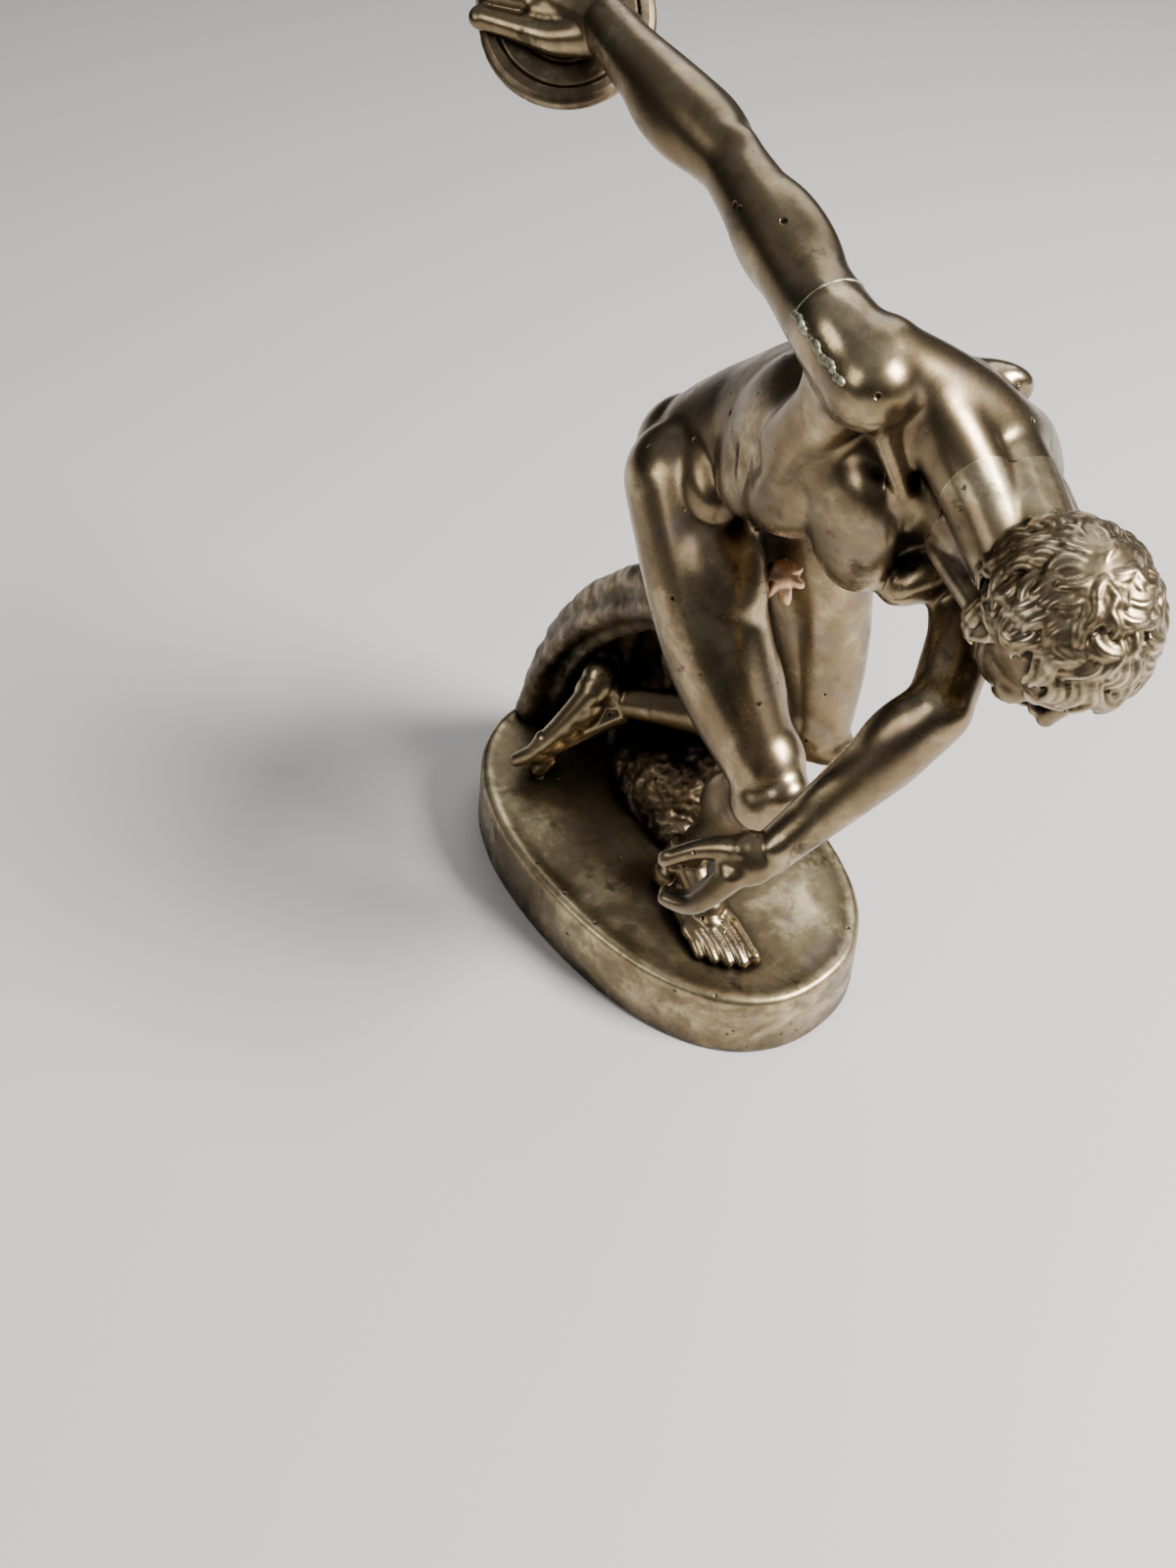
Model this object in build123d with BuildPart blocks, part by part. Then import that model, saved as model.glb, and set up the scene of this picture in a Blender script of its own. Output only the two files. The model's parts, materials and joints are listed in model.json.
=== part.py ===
from build123d import *
from math import copysign, cos, pi, sin
import os

# A cast bronze discus thrower on an oval plinth, assembled as a foundry does:
# the figure is cast in sections that meet on flat joint faces, each pinned and
# brazed, and studs with washers and nuts hold it down from inside the plinth.
# Millimetres. +X runs along the plinth's length, which is the way the standing
# foot points, +Y is the figure's left and +Z is up.

# ---- driving dimensions ----
plinth_length = 156.8
plinth_width = 95.0
plinth_height = 26.4
plinth_flare = 1.8
plinth_wall = 4.5
outline_fullness = 2.27
outline_points = 24
dish_depth = 1.2
dish_inset = 6.5
rim_rounding = 2.6
floor_level = plinth_height - dish_depth
underside_level = 0.3

felt_thickness = 1.6
felt_ledge = 2.2
felt_clearance = 0.2

discus_radius = 19.5
discus_edge = 3.0
discus_belly = 3.4

dowel_radius = 2.5
dowel_half = 9.0
core_wall = 4.0

large_thread = 3.0
small_thread = 2.0

# ---- named places on the figure ----
right_hip = Vector(5.2, -5.0, 166.1)
right_knee = Vector(55.8, -16.8, 108.4)
right_ankle = Vector(23.6, -9.8, 41.3)
right_heel = Vector(13.3, -14.0, 30.7)
right_toes = Vector(59.0, -14.5, 28.5)

left_hip = Vector(14.5, 24.6, 156.5)
left_knee = Vector(34.0, 28.4, 81.8)
left_ankle = Vector(-33.1, 7.1, 55.9)
left_heel = Vector(-38.5, 3.8, 66.0)
left_toes = Vector(-46.0, -21.0, 30.0)

neck_root = Vector(76.6, -3.8, 209.0)
head_centre = Vector(110.0, -14.9, 200.3)
head_up = Vector(0.757, -0.236, 0.614)
head_front = Vector(0.573, -0.208, -0.796)

right_shoulder = Vector(63.1, -23.0, 230.7)
right_elbow = Vector(12.1, -11.8, 247.1)
right_wrist = Vector(-31.8, -6.0, 258.6)
right_fingertips = Vector(-58.7, -18.8, 257.9)

left_shoulder = Vector(71.6, 23.9, 193.1)
left_elbow = Vector(95.7, -20.0, 169.1)
left_wrist = Vector(83.6, -48.0, 132.7)
left_palm = Vector(77.0, -56.5, 124.5)
left_thumb_tip = Vector(67.4, -63.0, 124.2)
left_finger_tip = Vector(70.6, -66.0, 115.8)

discus_centre = Vector(-50.4, -3.8, 255.8)
discus_axis = Vector(0.496, -0.447, 0.744)

pelvis = (right_hip + left_hip) * 0.5
pelvis_up = Vector(0.50, -0.05, 0.86)
pelvis_side = right_hip - left_hip
chest_side = right_shoulder - left_shoulder
rightwards = Vector(0, -1, 0)


def between(start, end, share):
    return start + (end - start) * share


def across(place, along, side):
    """A plane square to a limb, with its X axis along the given side."""
    upright = along.normalized()
    level = (side - upright * side.dot(upright)).normalized()
    return Plane(origin=place, x_dir=level, z_dir=upright)


def joint_plane(start, end, share):
    return across(between(start, end, share), end - start, rightwards)


# The flat faces where cast sections meet
neck_joint = joint_plane(neck_root, head_centre, 0.24)
right_arm_joint = joint_plane(right_shoulder, right_elbow, 0.25)
left_arm_joint = joint_plane(left_shoulder, left_elbow, 0.26)
right_leg_joint = joint_plane(right_hip, right_knee, 0.24)
left_leg_joint = joint_plane(left_hip, left_knee, 0.24)

neck_radius = 10.4
knee_radius = 12.1
arm_root_radius = 11.6
left_arm_root_radius = 11.0
thigh_root_radius = 17.4
left_thigh_root_radius = 17.0


def lofted(stations):
    """One cast length: oval sections (plane, half width, half depth), lofted."""
    with BuildPart() as length:
        for plane, half_width, half_depth in stations:
            with BuildSketch(plane):
                Ellipse(half_width, half_depth)
        loft()
    return length.part


def tapered(start, end, start_radius, end_radius):
    """A rod with round ends, as wide as its two radii: a finger or a knuckle run."""
    with BuildPart() as rod:
        for place, radius in ((start, start_radius), (end, end_radius)):
            with BuildSketch(across(place, end - start, Vector(0.3, -0.9, 0.2))):
                Circle(radius)
        loft()
        with Locations(start):
            Sphere(start_radius)
        with Locations(end):
            Sphere(end_radius)
    return rod.part


def plinth_outline(inset, stations=outline_points):
    """Points of the oval, a little fuller than an ellipse, moved in by inset."""
    power = 2 / outline_fullness
    points = []
    for step in range(stations):
        turn = 2 * pi * step / stations
        x = copysign(abs(cos(turn)) ** power, cos(turn)) * (plinth_length / 2 - inset)
        y = copysign(abs(sin(turn)) ** power, sin(turn)) * (plinth_width / 2 - inset)
        points.append((x, y))
    return points


def oval_block(low, high, low_inset, high_inset):
    """A block of the plinth's outline between two levels."""
    with BuildPart() as block:
        for level, inset in ((low, low_inset), (high, high_inset)):
            with BuildSketch(Plane.XY.offset(level)):
                with BuildLine():
                    Spline(*plinth_outline(inset), periodic=True)
                make_face()
        loft()
    return block.part


def stud(place, radius, low, high):
    """A plain-shank stud standing upright through the plinth's floor."""
    with BuildPart() as screw:
        with BuildSketch(Plane(origin=(place.X, place.Y, low))):
            Circle(radius)
        extrude(amount=high - low)
        chamfer(screw.edges().filter_by(GeomType.CIRCLE), length=radius * 0.2)
    return screw.part


def washer(place, bore, top):
    with BuildPart() as ring:
        with BuildSketch(Plane(origin=(place.X, place.Y, top - washer_thickness))):
            Circle(bore * 2.2)
            Circle(bore, mode=Mode.SUBTRACT)
        extrude(amount=washer_thickness)
    return ring.part


def nut(place, bore, top):
    with BuildPart() as hexagon:
        with BuildSketch(Plane(origin=(place.X, place.Y, top - bore * 1.6))):
            RegularPolygon(radius=bore * 1.75, side_count=6, major_radius=False)
            Circle(bore, mode=Mode.SUBTRACT)
        extrude(amount=bore * 1.6)
    return hexagon.part


washer_thickness = 1.0
cavity_top = floor_level - plinth_wall + 1.0

# Where each fastener stands, its radius and how far it reaches up
right_foot_fixing = Vector(30.0, -13.5, 0)
left_toe_fixing = Vector(-45.0, -18.5, 0)
stump_fixing = Vector(-42.0, 14.0, 0)
fixings = {
    "right_foot": (right_foot_fixing, large_thread, floor_level + 7.0),
    "left_toe": (left_toe_fixing, small_thread, floor_level + 4.0),
    "stump": (stump_fixing, large_thread, floor_level + 12.0),
}

# Where each dowel lies across its joint face
dowels = {
    "neck": neck_joint,
    "right_shoulder": right_arm_joint,
    "left_shoulder": left_arm_joint,
    "right_hip": right_leg_joint,
    "left_hip": left_leg_joint,
}


def dowel(plane):
    with BuildPart() as pin:
        with BuildSketch(plane.offset(-dowel_half)):
            Circle(dowel_radius)
        extrude(amount=dowel_half * 2)
        chamfer(pin.edges().filter_by(GeomType.CIRCLE), length=0.4)
    return pin.part


dowel_parts = {name: dowel(plane) for name, plane in dowels.items()}
stud_parts = {
    name: stud(place, radius, cavity_top - washer_thickness - radius * 2.4, high)
    for name, (place, radius, high) in fixings.items()
}

# ---- plinth: a hollow casting, open below, with a rounded rim and a dished top ----
with BuildPart() as plinth:
    add(oval_block(underside_level, plinth_height, -plinth_flare, 0.0))
    rim = plinth.faces().sort_by(Axis.Z)[-1].edges()
    fillet(rim, radius=rim_rounding)
    add(oval_block(floor_level, plinth_height + 0.1, dish_inset, dish_inset - 1.6), mode=Mode.SUBTRACT)
    add(oval_block(underside_level, felt_thickness, felt_ledge - plinth_flare, felt_ledge - plinth_flare),
        mode=Mode.SUBTRACT)
    add(oval_block(felt_thickness - 0.1, cavity_top, plinth_wall - plinth_flare, plinth_wall),
        mode=Mode.SUBTRACT)
    for place, radius, high in fixings.values():
        with BuildSketch(Plane(origin=(place.X, place.Y, cavity_top - 1.0))):
            Circle(radius)
        extrude(amount=plinth_height, mode=Mode.SUBTRACT)

# ---- felt: one sheet let into the ledge under the plinth ----
with BuildPart() as felt_pad:
    felt_inset = felt_ledge - plinth_flare + felt_clearance
    add(oval_block(0.0, felt_thickness, felt_inset, felt_inset))

# ---- torso: pelvis, waist, rib cage and the four limb roots, cast over a core ----
spine = neck_root - pelvis
mid_up = pelvis_up + spine.normalized()
torso_stations = (
    (across(pelvis - pelvis_up * 15, pelvis_up, pelvis_side), 17.0, 13.0),
    (across(pelvis - pelvis_up * 2, pelvis_up, pelvis_side), 29.0, 20.0),
    (across(between(pelvis, neck_root, 0.34), mid_up, pelvis_side + chest_side), 24.5, 18.5),
    (across(between(pelvis, neck_root, 0.70), spine, chest_side), 27.5, 19.5),
    (across(between(pelvis, neck_root, 0.92), spine, chest_side), 22.0, 15.0),
    (across(between(pelvis, neck_root, 1.06), spine, chest_side), 9.0, 8.0),
)
core_stations = (
    (across(pelvis - pelvis_up * 4, pelvis_up, pelvis_side), 14.0, 10.0),
    (across(between(pelvis, neck_root, 0.34), mid_up, pelvis_side + chest_side),
     24.5 - core_wall, 18.5 - core_wall),
    (across(between(pelvis, neck_root, 0.66), spine, chest_side), 27.0 - core_wall, 19.0 - core_wall),
    (across(between(pelvis, neck_root, 0.86), spine, chest_side), 12.0, 8.0),
)
torso_limb_roots = [
    lofted(((across(right_hip, right_knee - right_hip, rightwards), 15.0, 15.0),
            (right_leg_joint, thigh_root_radius, thigh_root_radius))),
    lofted(((across(left_hip, left_knee - left_hip, rightwards), 14.6, 14.6),
            (left_leg_joint, left_thigh_root_radius, left_thigh_root_radius))),
    lofted(((across(between(right_shoulder, right_elbow, -0.12), right_elbow - right_shoulder, rightwards),
             10.4, 10.4),
            (right_arm_joint, arm_root_radius, arm_root_radius))),
    lofted(((across(between(left_shoulder, left_elbow, -0.10), left_elbow - left_shoulder, rightwards),
             10.0, 10.0),
            (left_arm_joint, left_arm_root_radius, left_arm_root_radius))),
    lofted(((across(between(neck_root, head_centre, -0.20), head_centre - neck_root, rightwards), 12.5, 12.5),
            (neck_joint, neck_radius, neck_radius))),
]
limb_gap = 0.3
limb_rooms = ((right_leg_joint, thigh_root_radius, 50.0), (left_leg_joint, left_thigh_root_radius, 50.0),
              (right_arm_joint, arm_root_radius, 40.0), (left_arm_joint, left_arm_root_radius + 2.4, 56.0))
torso_shell = lofted(torso_stations)
torso_core = lofted(core_stations)
collar_lengths = [tapered(right_shoulder, neck_root, 11.6, 12.6), tapered(left_shoulder, neck_root, 11.2, 12.6)]
shoulder_balls = ((between(right_shoulder, right_elbow, -0.12), 10.4),
                  (between(left_shoulder, left_elbow, -0.10), 10.0))

with BuildPart() as torso_outside:
    add(torso_shell)
    for root in torso_limb_roots:
        add(root)
    for place, radius in shoulder_balls:
        with Locations(place):
            Sphere(radius)
    for collar in collar_lengths:
        add(collar)
    split(bisect_by=neck_joint, keep=Keep.BOTTOM)
    for plane, radius, reach in limb_rooms:
        with BuildSketch(plane):
            Circle(radius + limb_gap)
        extrude(amount=reach, mode=Mode.SUBTRACT)

with BuildPart() as torso:
    add(torso_outside.part)
    add(torso_core, mode=Mode.SUBTRACT)
    for pin in dowel_parts.values():
        add(pin, mode=Mode.SUBTRACT)

# ---- discus: two shallow domes on a rounded edge, with turned rings, pinned to the palm ----
discus_face = Plane(origin=discus_centre, z_dir=discus_axis)
discus_section = Plane(origin=discus_centre, x_dir=discus_face.x_dir, z_dir=discus_face.y_dir)
ring_radii = (0.20 * discus_radius, 0.48 * discus_radius, 0.70 * discus_radius)
ring_depth = 0.4
rim_x = discus_radius - discus_edge / 2


def dome_height(radius):
    """Half the discus's thickness at a radius: a shallow dome that ends at the edge."""
    return discus_belly - (discus_belly - discus_edge / 2) * (radius / rim_x) ** 2


dome_middle = rim_x * 0.55
boss_radius = 2.5
palm_pin_radius = 1.2
palm_pin_reach = 8.0
palm_pin_foot = discus_centre + Vector(5.0, -1.2, -4.05) - discus_axis * 1.5
with BuildPart() as discus_pin:
    with BuildSketch(Plane(origin=palm_pin_foot, z_dir=discus_axis)):
        Circle(palm_pin_radius)
    extrude(amount=palm_pin_reach)

with BuildPart() as discus:
    with BuildSketch(discus_section):
        with BuildLine():
            Line((0, -discus_belly), (0, discus_belly))
            Line((0, discus_belly), (boss_radius, discus_belly))
            ThreePointArc((boss_radius, discus_belly), (dome_middle, dome_height(dome_middle)),
                          (rim_x, discus_edge / 2))
            ThreePointArc((rim_x, discus_edge / 2), (discus_radius, 0), (rim_x, -discus_edge / 2))
            ThreePointArc((rim_x, -discus_edge / 2), (dome_middle, -dome_height(dome_middle)),
                          (boss_radius, -discus_belly))
            Line((boss_radius, -discus_belly), (0, -discus_belly))
        make_face()
        for radius in ring_radii:
            with Locations((radius, -dome_height(radius)), (radius, dome_height(radius))):
                Circle(ring_depth, mode=Mode.SUBTRACT)
    revolve(axis=Axis(origin=discus_centre, direction=discus_face.z_dir), revolution_arc=360)
    add(discus_pin.part, mode=Mode.SUBTRACT)

# ---- right leg: thigh, shin and the foot that carries the weight ----
knee_side = Vector(0.15, -0.98, 0.1)
right_thigh_stations = (
    (right_leg_joint, thigh_root_radius, thigh_root_radius),
    (across(between(right_hip, right_knee, 0.58), right_knee - right_hip, knee_side), 15.6, 15.6),
    (across(between(right_hip, right_knee, 0.86), right_knee - right_hip, knee_side), 12.0, 12.4),
    (across(right_knee, right_knee - right_hip, knee_side), 11.2, 11.4),
)
right_shin_stations = (
    (across(right_knee, right_ankle - right_knee, knee_side), 11.0, 11.3),
    (across(between(right_knee, right_ankle, 0.32) + Vector(-3.5, 0.8, 0.8),
            right_ankle - right_knee, knee_side), 12.0, 12.6),
    (across(between(right_knee, right_ankle, 0.70), right_ankle - right_knee, knee_side), 8.4, 8.6),
    (across(right_ankle, right_ankle - right_knee, knee_side), 7.0, 7.4),
)
foot_run = Vector(1, 0, 0)
right_foot_stations = (
    (across(Vector(7.0, -12.6, 32.0), foot_run, rightwards), 5.0, 6.0),
    (across(Vector(14.0, -12.6, 33.0), foot_run, rightwards), 7.8, 10.5),
    (across(Vector(27.0, -12.8, 33.0), foot_run, rightwards), 8.4, 9.5),
    (across(Vector(44.0, -14.4, 28.8), foot_run, rightwards), 10.2, 6.0),
    (across(right_toes + Vector(2.0, 0.6, -0.5), foot_run, rightwards), 8.0, 3.6),
)
right_leg_lengths = [lofted(right_thigh_stations), lofted(right_shin_stations), lofted(right_foot_stations)]

with BuildPart() as right_leg:
    for length in right_leg_lengths:
        add(length)
    with Locations(right_knee):
        Sphere(knee_radius)
    with Locations(right_ankle):
        Sphere(8.2)
    split(bisect_by=Plane.XY.offset(floor_level), keep=Keep.TOP)
    for neighbour in (dowel_parts["right_hip"], stud_parts["right_foot"]):
        add(neighbour, mode=Mode.SUBTRACT)

# ---- left leg: it trails, the knee forward and the toes dragging ----
left_side = Vector(0.1, 0.98, -0.1)
left_thigh_stations = (
    (left_leg_joint, left_thigh_root_radius, left_thigh_root_radius),
    (across(between(left_hip, left_knee, 0.58), left_knee - left_hip, left_side), 15.2, 15.4),
    (across(between(left_hip, left_knee, 0.88), left_knee - left_hip, left_side), 11.8, 12.4),
    (across(left_knee, left_knee - left_hip, left_side), 11.0, 11.3),
)
left_shin_stations = (
    (across(left_knee, left_ankle - left_knee, left_side), 10.8, 11.2),
    (across(between(left_knee, left_ankle, 0.32) + Vector(-1.0, 0.6, 2.4),
            left_ankle - left_knee, left_side), 11.6, 12.2),
    (across(between(left_knee, left_ankle, 0.70), left_ankle - left_knee, left_side), 8.2, 8.4),
    (across(left_ankle, left_ankle - left_knee, left_side), 7.0, 7.2),
)
left_foot_run = left_toes - left_heel
left_foot_stations = (
    (across(left_heel, left_foot_run, left_side), 6.4, 6.4),
    (across(between(left_heel, left_toes, 0.35) + Vector(2.2, 0, 0), left_foot_run, left_side), 7.6, 8.0),
    (across(between(left_heel, left_toes, 0.72), left_foot_run, left_side), 9.4, 5.4),
    (across(left_toes, left_foot_run, left_side), 8.6, 3.6),
)
left_leg_lengths = [lofted(left_thigh_stations), lofted(left_shin_stations), lofted(left_foot_stations)]

with BuildPart() as left_leg:
    for length in left_leg_lengths:
        add(length)
    with Locations(left_knee):
        Sphere(knee_radius)
    with Locations(left_ankle):
        Sphere(7.6)
    with Locations(left_heel):
        Sphere(6.9)
    with Locations(left_toe_fixing + Vector(0.4, -2.0, floor_level + 2.6)):
        Sphere(5.2)
    split(bisect_by=Plane.XY.offset(floor_level), keep=Keep.TOP)
    for neighbour in (dowel_parts["left_hip"], stud_parts["left_toe"]):
        add(neighbour, mode=Mode.SUBTRACT)

# ---- right arm: stretched back, the fingers over the discus ----
arm_side = Vector(0.1, -0.8, 0.6)
right_arm_lengths = [
    lofted((
        (right_arm_joint, arm_root_radius, arm_root_radius),
        (across(between(right_shoulder, right_elbow, 0.55), right_elbow - right_shoulder, arm_side), 9.4, 10.2),
        (across(between(right_shoulder, right_elbow, 0.90), right_elbow - right_shoulder, arm_side), 8.0, 8.4),
        (across(right_elbow, right_wrist - right_shoulder, arm_side), 8.2, 8.2),
        (across(between(right_elbow, right_wrist, 0.30), right_wrist - right_elbow, arm_side), 9.4, 8.8),
        (across(between(right_elbow, right_wrist, 0.70), right_wrist - right_elbow, arm_side), 7.0, 6.2),
        (across(right_wrist, right_wrist - right_elbow, arm_side), 6.0, 5.0),
    )),
    lofted((
        (across(right_wrist, right_fingertips - right_wrist, arm_side), 6.0, 5.0),
        (across(between(right_wrist, right_fingertips, 0.40), right_fingertips - right_wrist, arm_side), 8.4, 4.6),
        (across(right_fingertips, right_fingertips - right_wrist, arm_side), 6.4, 3.2),
    )),
    tapered(right_wrist, right_wrist + (right_wrist - right_elbow).normalized() * 2, 5.6, 5.0),
]
with BuildPart() as right_arm:
    for length in right_arm_lengths:
        add(length)
    for neighbour in (dowel_parts["right_shoulder"], discus_pin.part, discus.part):
        add(neighbour, mode=Mode.SUBTRACT)

# ---- left arm: hanging across the right knee, the hand half closed ----
hang_side = Vector(0.8, 0.1, 0.5)
left_arm_lengths = [
    lofted((
        (left_arm_joint, left_arm_root_radius, left_arm_root_radius),
        (across(between(left_shoulder, left_elbow, 0.60), left_elbow - left_shoulder, hang_side), 9.0, 9.6),
        (across(left_elbow, left_wrist - left_shoulder, hang_side), 8.8, 8.6),
        (across(between(left_elbow, left_wrist, 0.30), left_wrist - left_elbow, hang_side), 9.2, 8.6),
        (across(between(left_elbow, left_wrist, 0.72), left_wrist - left_elbow, hang_side), 6.6, 6.0),
        (across(left_wrist, left_wrist - left_elbow, hang_side), 5.6, 4.8),
    )),
    tapered(left_wrist, left_palm, 5.6, 6.6),
    tapered(left_palm + Vector(-1, 0, 2), left_thumb_tip, 4.0, 2.5),
    tapered(left_palm + Vector(0, -1, -3), left_finger_tip, 4.4, 2.5),
    tapered(left_palm + Vector(3, 0, -4), left_finger_tip + Vector(5, 0, -4), 4.0, 2.5),
]
with BuildPart() as left_arm:
    for length in left_arm_lengths:
        add(length)
    add(dowel_parts["left_shoulder"], mode=Mode.SUBTRACT)

# ---- head: an oval of hair over a narrower jaw, on the neck's upper length ----
head_section = Plane(origin=head_centre, x_dir=head_front, z_dir=head_front.cross(head_up))
head_half_height = 21.0
head_half_depth = 19.6
jaw = head_centre - head_up * 12.5 + head_front * 6.0
neck_length = lofted(((neck_joint, neck_radius, neck_radius),
                      (neck_joint.offset(16.0), 9.6, 9.6)))
with BuildPart() as head:
    with BuildSketch(head_section):
        with BuildLine():
            EllipticalCenterArc((0, 0), head_half_depth, head_half_height, start_angle=-90, arc_size=180)
            Line((0, head_half_height), (0, -head_half_height))
        make_face()
    revolve(axis=Axis(origin=head_centre, direction=head_section.y_dir), revolution_arc=360)
    with Locations(jaw):
        Sphere(9.6)
    add(neck_length)
    for neighbour in (left_arm.part, dowel_parts["neck"]):
        add(neighbour, mode=Mode.SUBTRACT)

# ---- stump: a leaning trunk, hollowed where the trailing leg lies, on its mound ----
stump_side = Vector(0.94, 0.34, 0.0)
trunk_stations = (
    (across(Vector(-40, 12, floor_level), Vector(0, 0, 1), stump_side), 33.0, 19.0),
    (across(Vector(-37, 14, 56), Vector(0.25, 0, 1), stump_side), 29.0, 17.0),
    (across(Vector(-26, 12, 90), Vector(0.45, -0.1, 1), stump_side), 22.0, 13.5),
    (across(Vector(-11, 7, 117), Vector(0.65, -0.2, 0.8), stump_side), 15.0, 11.0),
    (across(Vector(7, -1, 138), Vector(0.7, -0.25, 0.7), stump_side), 10.0, 9.0),
)
mound_stations = (
    (across(Vector(-8, 13, floor_level), Vector(0, 0, 1), stump_side), 27.0, 20.0),
    (across(Vector(-8, 15, 44), Vector(0, 0, 1), stump_side), 22.0, 15.0),
    (across(Vector(-6, 17, 62), Vector(0, 0, 1), stump_side), 12.0, 8.0),
)
stump_lengths = [lofted(trunk_stations), lofted(mound_stations)]
hollow_lengths = [
    tapered(left_knee, between(left_knee, left_ankle, 0.3), 17.0, 16.5),
    tapered(between(left_knee, left_ankle, 0.3), left_ankle, 16.5, 14.0),
    tapered(left_ankle + Vector(4, -4, 2), left_toes + Vector(4, -3, 0), 14.0, 13.0),
]
with BuildPart() as stump:
    for length in stump_lengths:
        add(length)
    for hollow in hollow_lengths:
        add(hollow, mode=Mode.SUBTRACT)
    for neighbour in (right_leg.part, left_leg.part, torso_outside.part, plinth.part, stud_parts["stump"]):
        add(neighbour, mode=Mode.SUBTRACT)

# ---- fig leaf: a small cast leaf let in below the belly ----
leaf_plane = Plane(origin=(34.5, -0.5, 149.6), x_dir=(-0.4, -0.9, 0.1), z_dir=(0.86, -0.40, -0.20))
leaf_lobes = 5
leaf_reach = 6.5
leaf_thickness = 3.0
with BuildPart() as fig_leaf:
    with BuildSketch(leaf_plane):
        Circle(leaf_reach * 0.55)
        for lobe in range(leaf_lobes):
            with Locations(Location((0, 0, 0), (0, 0, 360 * lobe / leaf_lobes - 90))):
                with Locations((leaf_reach * 0.5, 0)):
                    Ellipse(leaf_reach * 0.5, leaf_reach * 0.26)
    extrude(amount=leaf_thickness)
    for neighbour in (torso_outside.part, right_leg.part, left_leg.part):
        add(neighbour, mode=Mode.SUBTRACT)

# ---- braze: the bead that shows round the right shoulder's joint ----
bead_radius = 0.8
with BuildPart() as shoulder_braze:
    with BuildSketch(right_arm_joint.offset(-bead_radius)):
        Circle(arm_root_radius + bead_radius * 0.7)
    extrude(amount=bead_radius * 2)
    for solid in (torso_outside.part, right_arm.part, dowel_parts["right_shoulder"]):
        add(solid, mode=Mode.SUBTRACT)

pieces = {
    "plinth": plinth.part,
    "felt_pad": felt_pad.part,
    "stump": stump.part,
    "torso": torso.part,
    "head": head.part,
    "right_arm": right_arm.part,
    "left_arm": left_arm.part,
    "right_leg": right_leg.part,
    "left_leg": left_leg.part,
    "discus": discus.part,
    "discus_pin": discus_pin.part,
    "fig_leaf": fig_leaf.part,
    "shoulder_braze": shoulder_braze.part,
}
for name, pin in dowel_parts.items():
    pieces[name + "_dowel"] = pin
for name, screw in stud_parts.items():
    place, radius, high = fixings[name]
    pieces[name + "_stud"] = screw
    pieces[name + "_washer"] = washer(place, radius, cavity_top)
    pieces[name + "_nut"] = nut(place, radius, cavity_top - washer_thickness)

os.makedirs("parts", exist_ok=True)
for name, piece in pieces.items():
    piece.label = name
    export_step(piece, f"parts/{name}.step")
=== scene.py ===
import bpy
import bmesh
import json
import random
import numpy as np
from math import cos, pi, radians, sin
from mathutils import Matrix, Vector
from mathutils import noise
from mathutils.bvhtree import BVHTree

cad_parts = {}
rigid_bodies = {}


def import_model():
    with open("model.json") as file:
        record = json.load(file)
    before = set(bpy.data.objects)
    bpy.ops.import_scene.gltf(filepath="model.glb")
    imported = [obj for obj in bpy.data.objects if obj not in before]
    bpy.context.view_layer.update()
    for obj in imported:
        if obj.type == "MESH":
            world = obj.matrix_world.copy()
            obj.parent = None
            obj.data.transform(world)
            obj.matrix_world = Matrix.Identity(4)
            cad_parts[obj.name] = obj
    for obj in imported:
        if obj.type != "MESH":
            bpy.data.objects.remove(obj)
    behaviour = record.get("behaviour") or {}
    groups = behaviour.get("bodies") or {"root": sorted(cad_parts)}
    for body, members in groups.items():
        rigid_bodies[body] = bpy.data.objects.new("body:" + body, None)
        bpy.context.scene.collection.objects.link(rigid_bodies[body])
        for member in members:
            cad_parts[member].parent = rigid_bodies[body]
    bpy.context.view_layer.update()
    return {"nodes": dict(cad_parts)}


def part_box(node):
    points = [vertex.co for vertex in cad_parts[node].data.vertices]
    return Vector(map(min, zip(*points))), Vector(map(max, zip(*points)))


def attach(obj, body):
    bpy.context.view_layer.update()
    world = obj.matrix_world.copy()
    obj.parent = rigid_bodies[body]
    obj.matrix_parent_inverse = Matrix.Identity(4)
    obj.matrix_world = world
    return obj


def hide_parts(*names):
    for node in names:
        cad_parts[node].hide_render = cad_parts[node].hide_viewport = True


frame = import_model()
print("frame loaded, nodes:", len(frame["nodes"]))

# A bronze discus thrower. The figure is sculpted as clay in millimetres, remeshed,
# cut at the joints of its castings and shrunk to metres at the end.
mm = 0.001


def at(x, y, z):
    return Vector((x, y, z))


def boxOf(name):
    low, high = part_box(name)
    return Vector(low) / mm, Vector(high) / mm


def middleOf(name):
    low, high = boxOf(name)
    return (low + high) / 2


body = {
    "pelvis": at(9.9, 9.8, 161.3), "neck": at(76.6, -3.8, 209.0),
    "rightHip": at(5.2, -5.0, 166.1), "rightKnee": at(55.8, -16.8, 108.4),
    "rightAnkle": at(23.6, -9.8, 41.3), "leftHip": at(14.5, 24.6, 156.5), "leftKnee": at(34.0, 28.4, 81.8),
    "leftAnkle": at(-33.1, 7.1, 55.9), "rightShoulder": at(63.1, -23.0, 230.7),
    "rightElbow": at(12.1, -11.8, 247.1), "rightWrist": at(-31.8, -6.0, 258.6),
    "leftShoulder": at(71.6, 23.9, 193.1), "leftElbow": at(95.7, -20.0, 169.1),
    "leftWrist": at(83.6, -48.0, 132.7), "head": at(110.0, -14.9, 200.3),
}
upward = at(0, 0, 1)
lengthwise = at(1, 0, 0)
floorLevel = boxOf("right_leg")[0].z   # the dished top that the feet stand on


# right, front and up, square to each other
def axesFrom(right, up):
    up = up.normalized()
    right = (right - up * right.dot(up)).normalized()
    return right, up.cross(right), up


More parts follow.
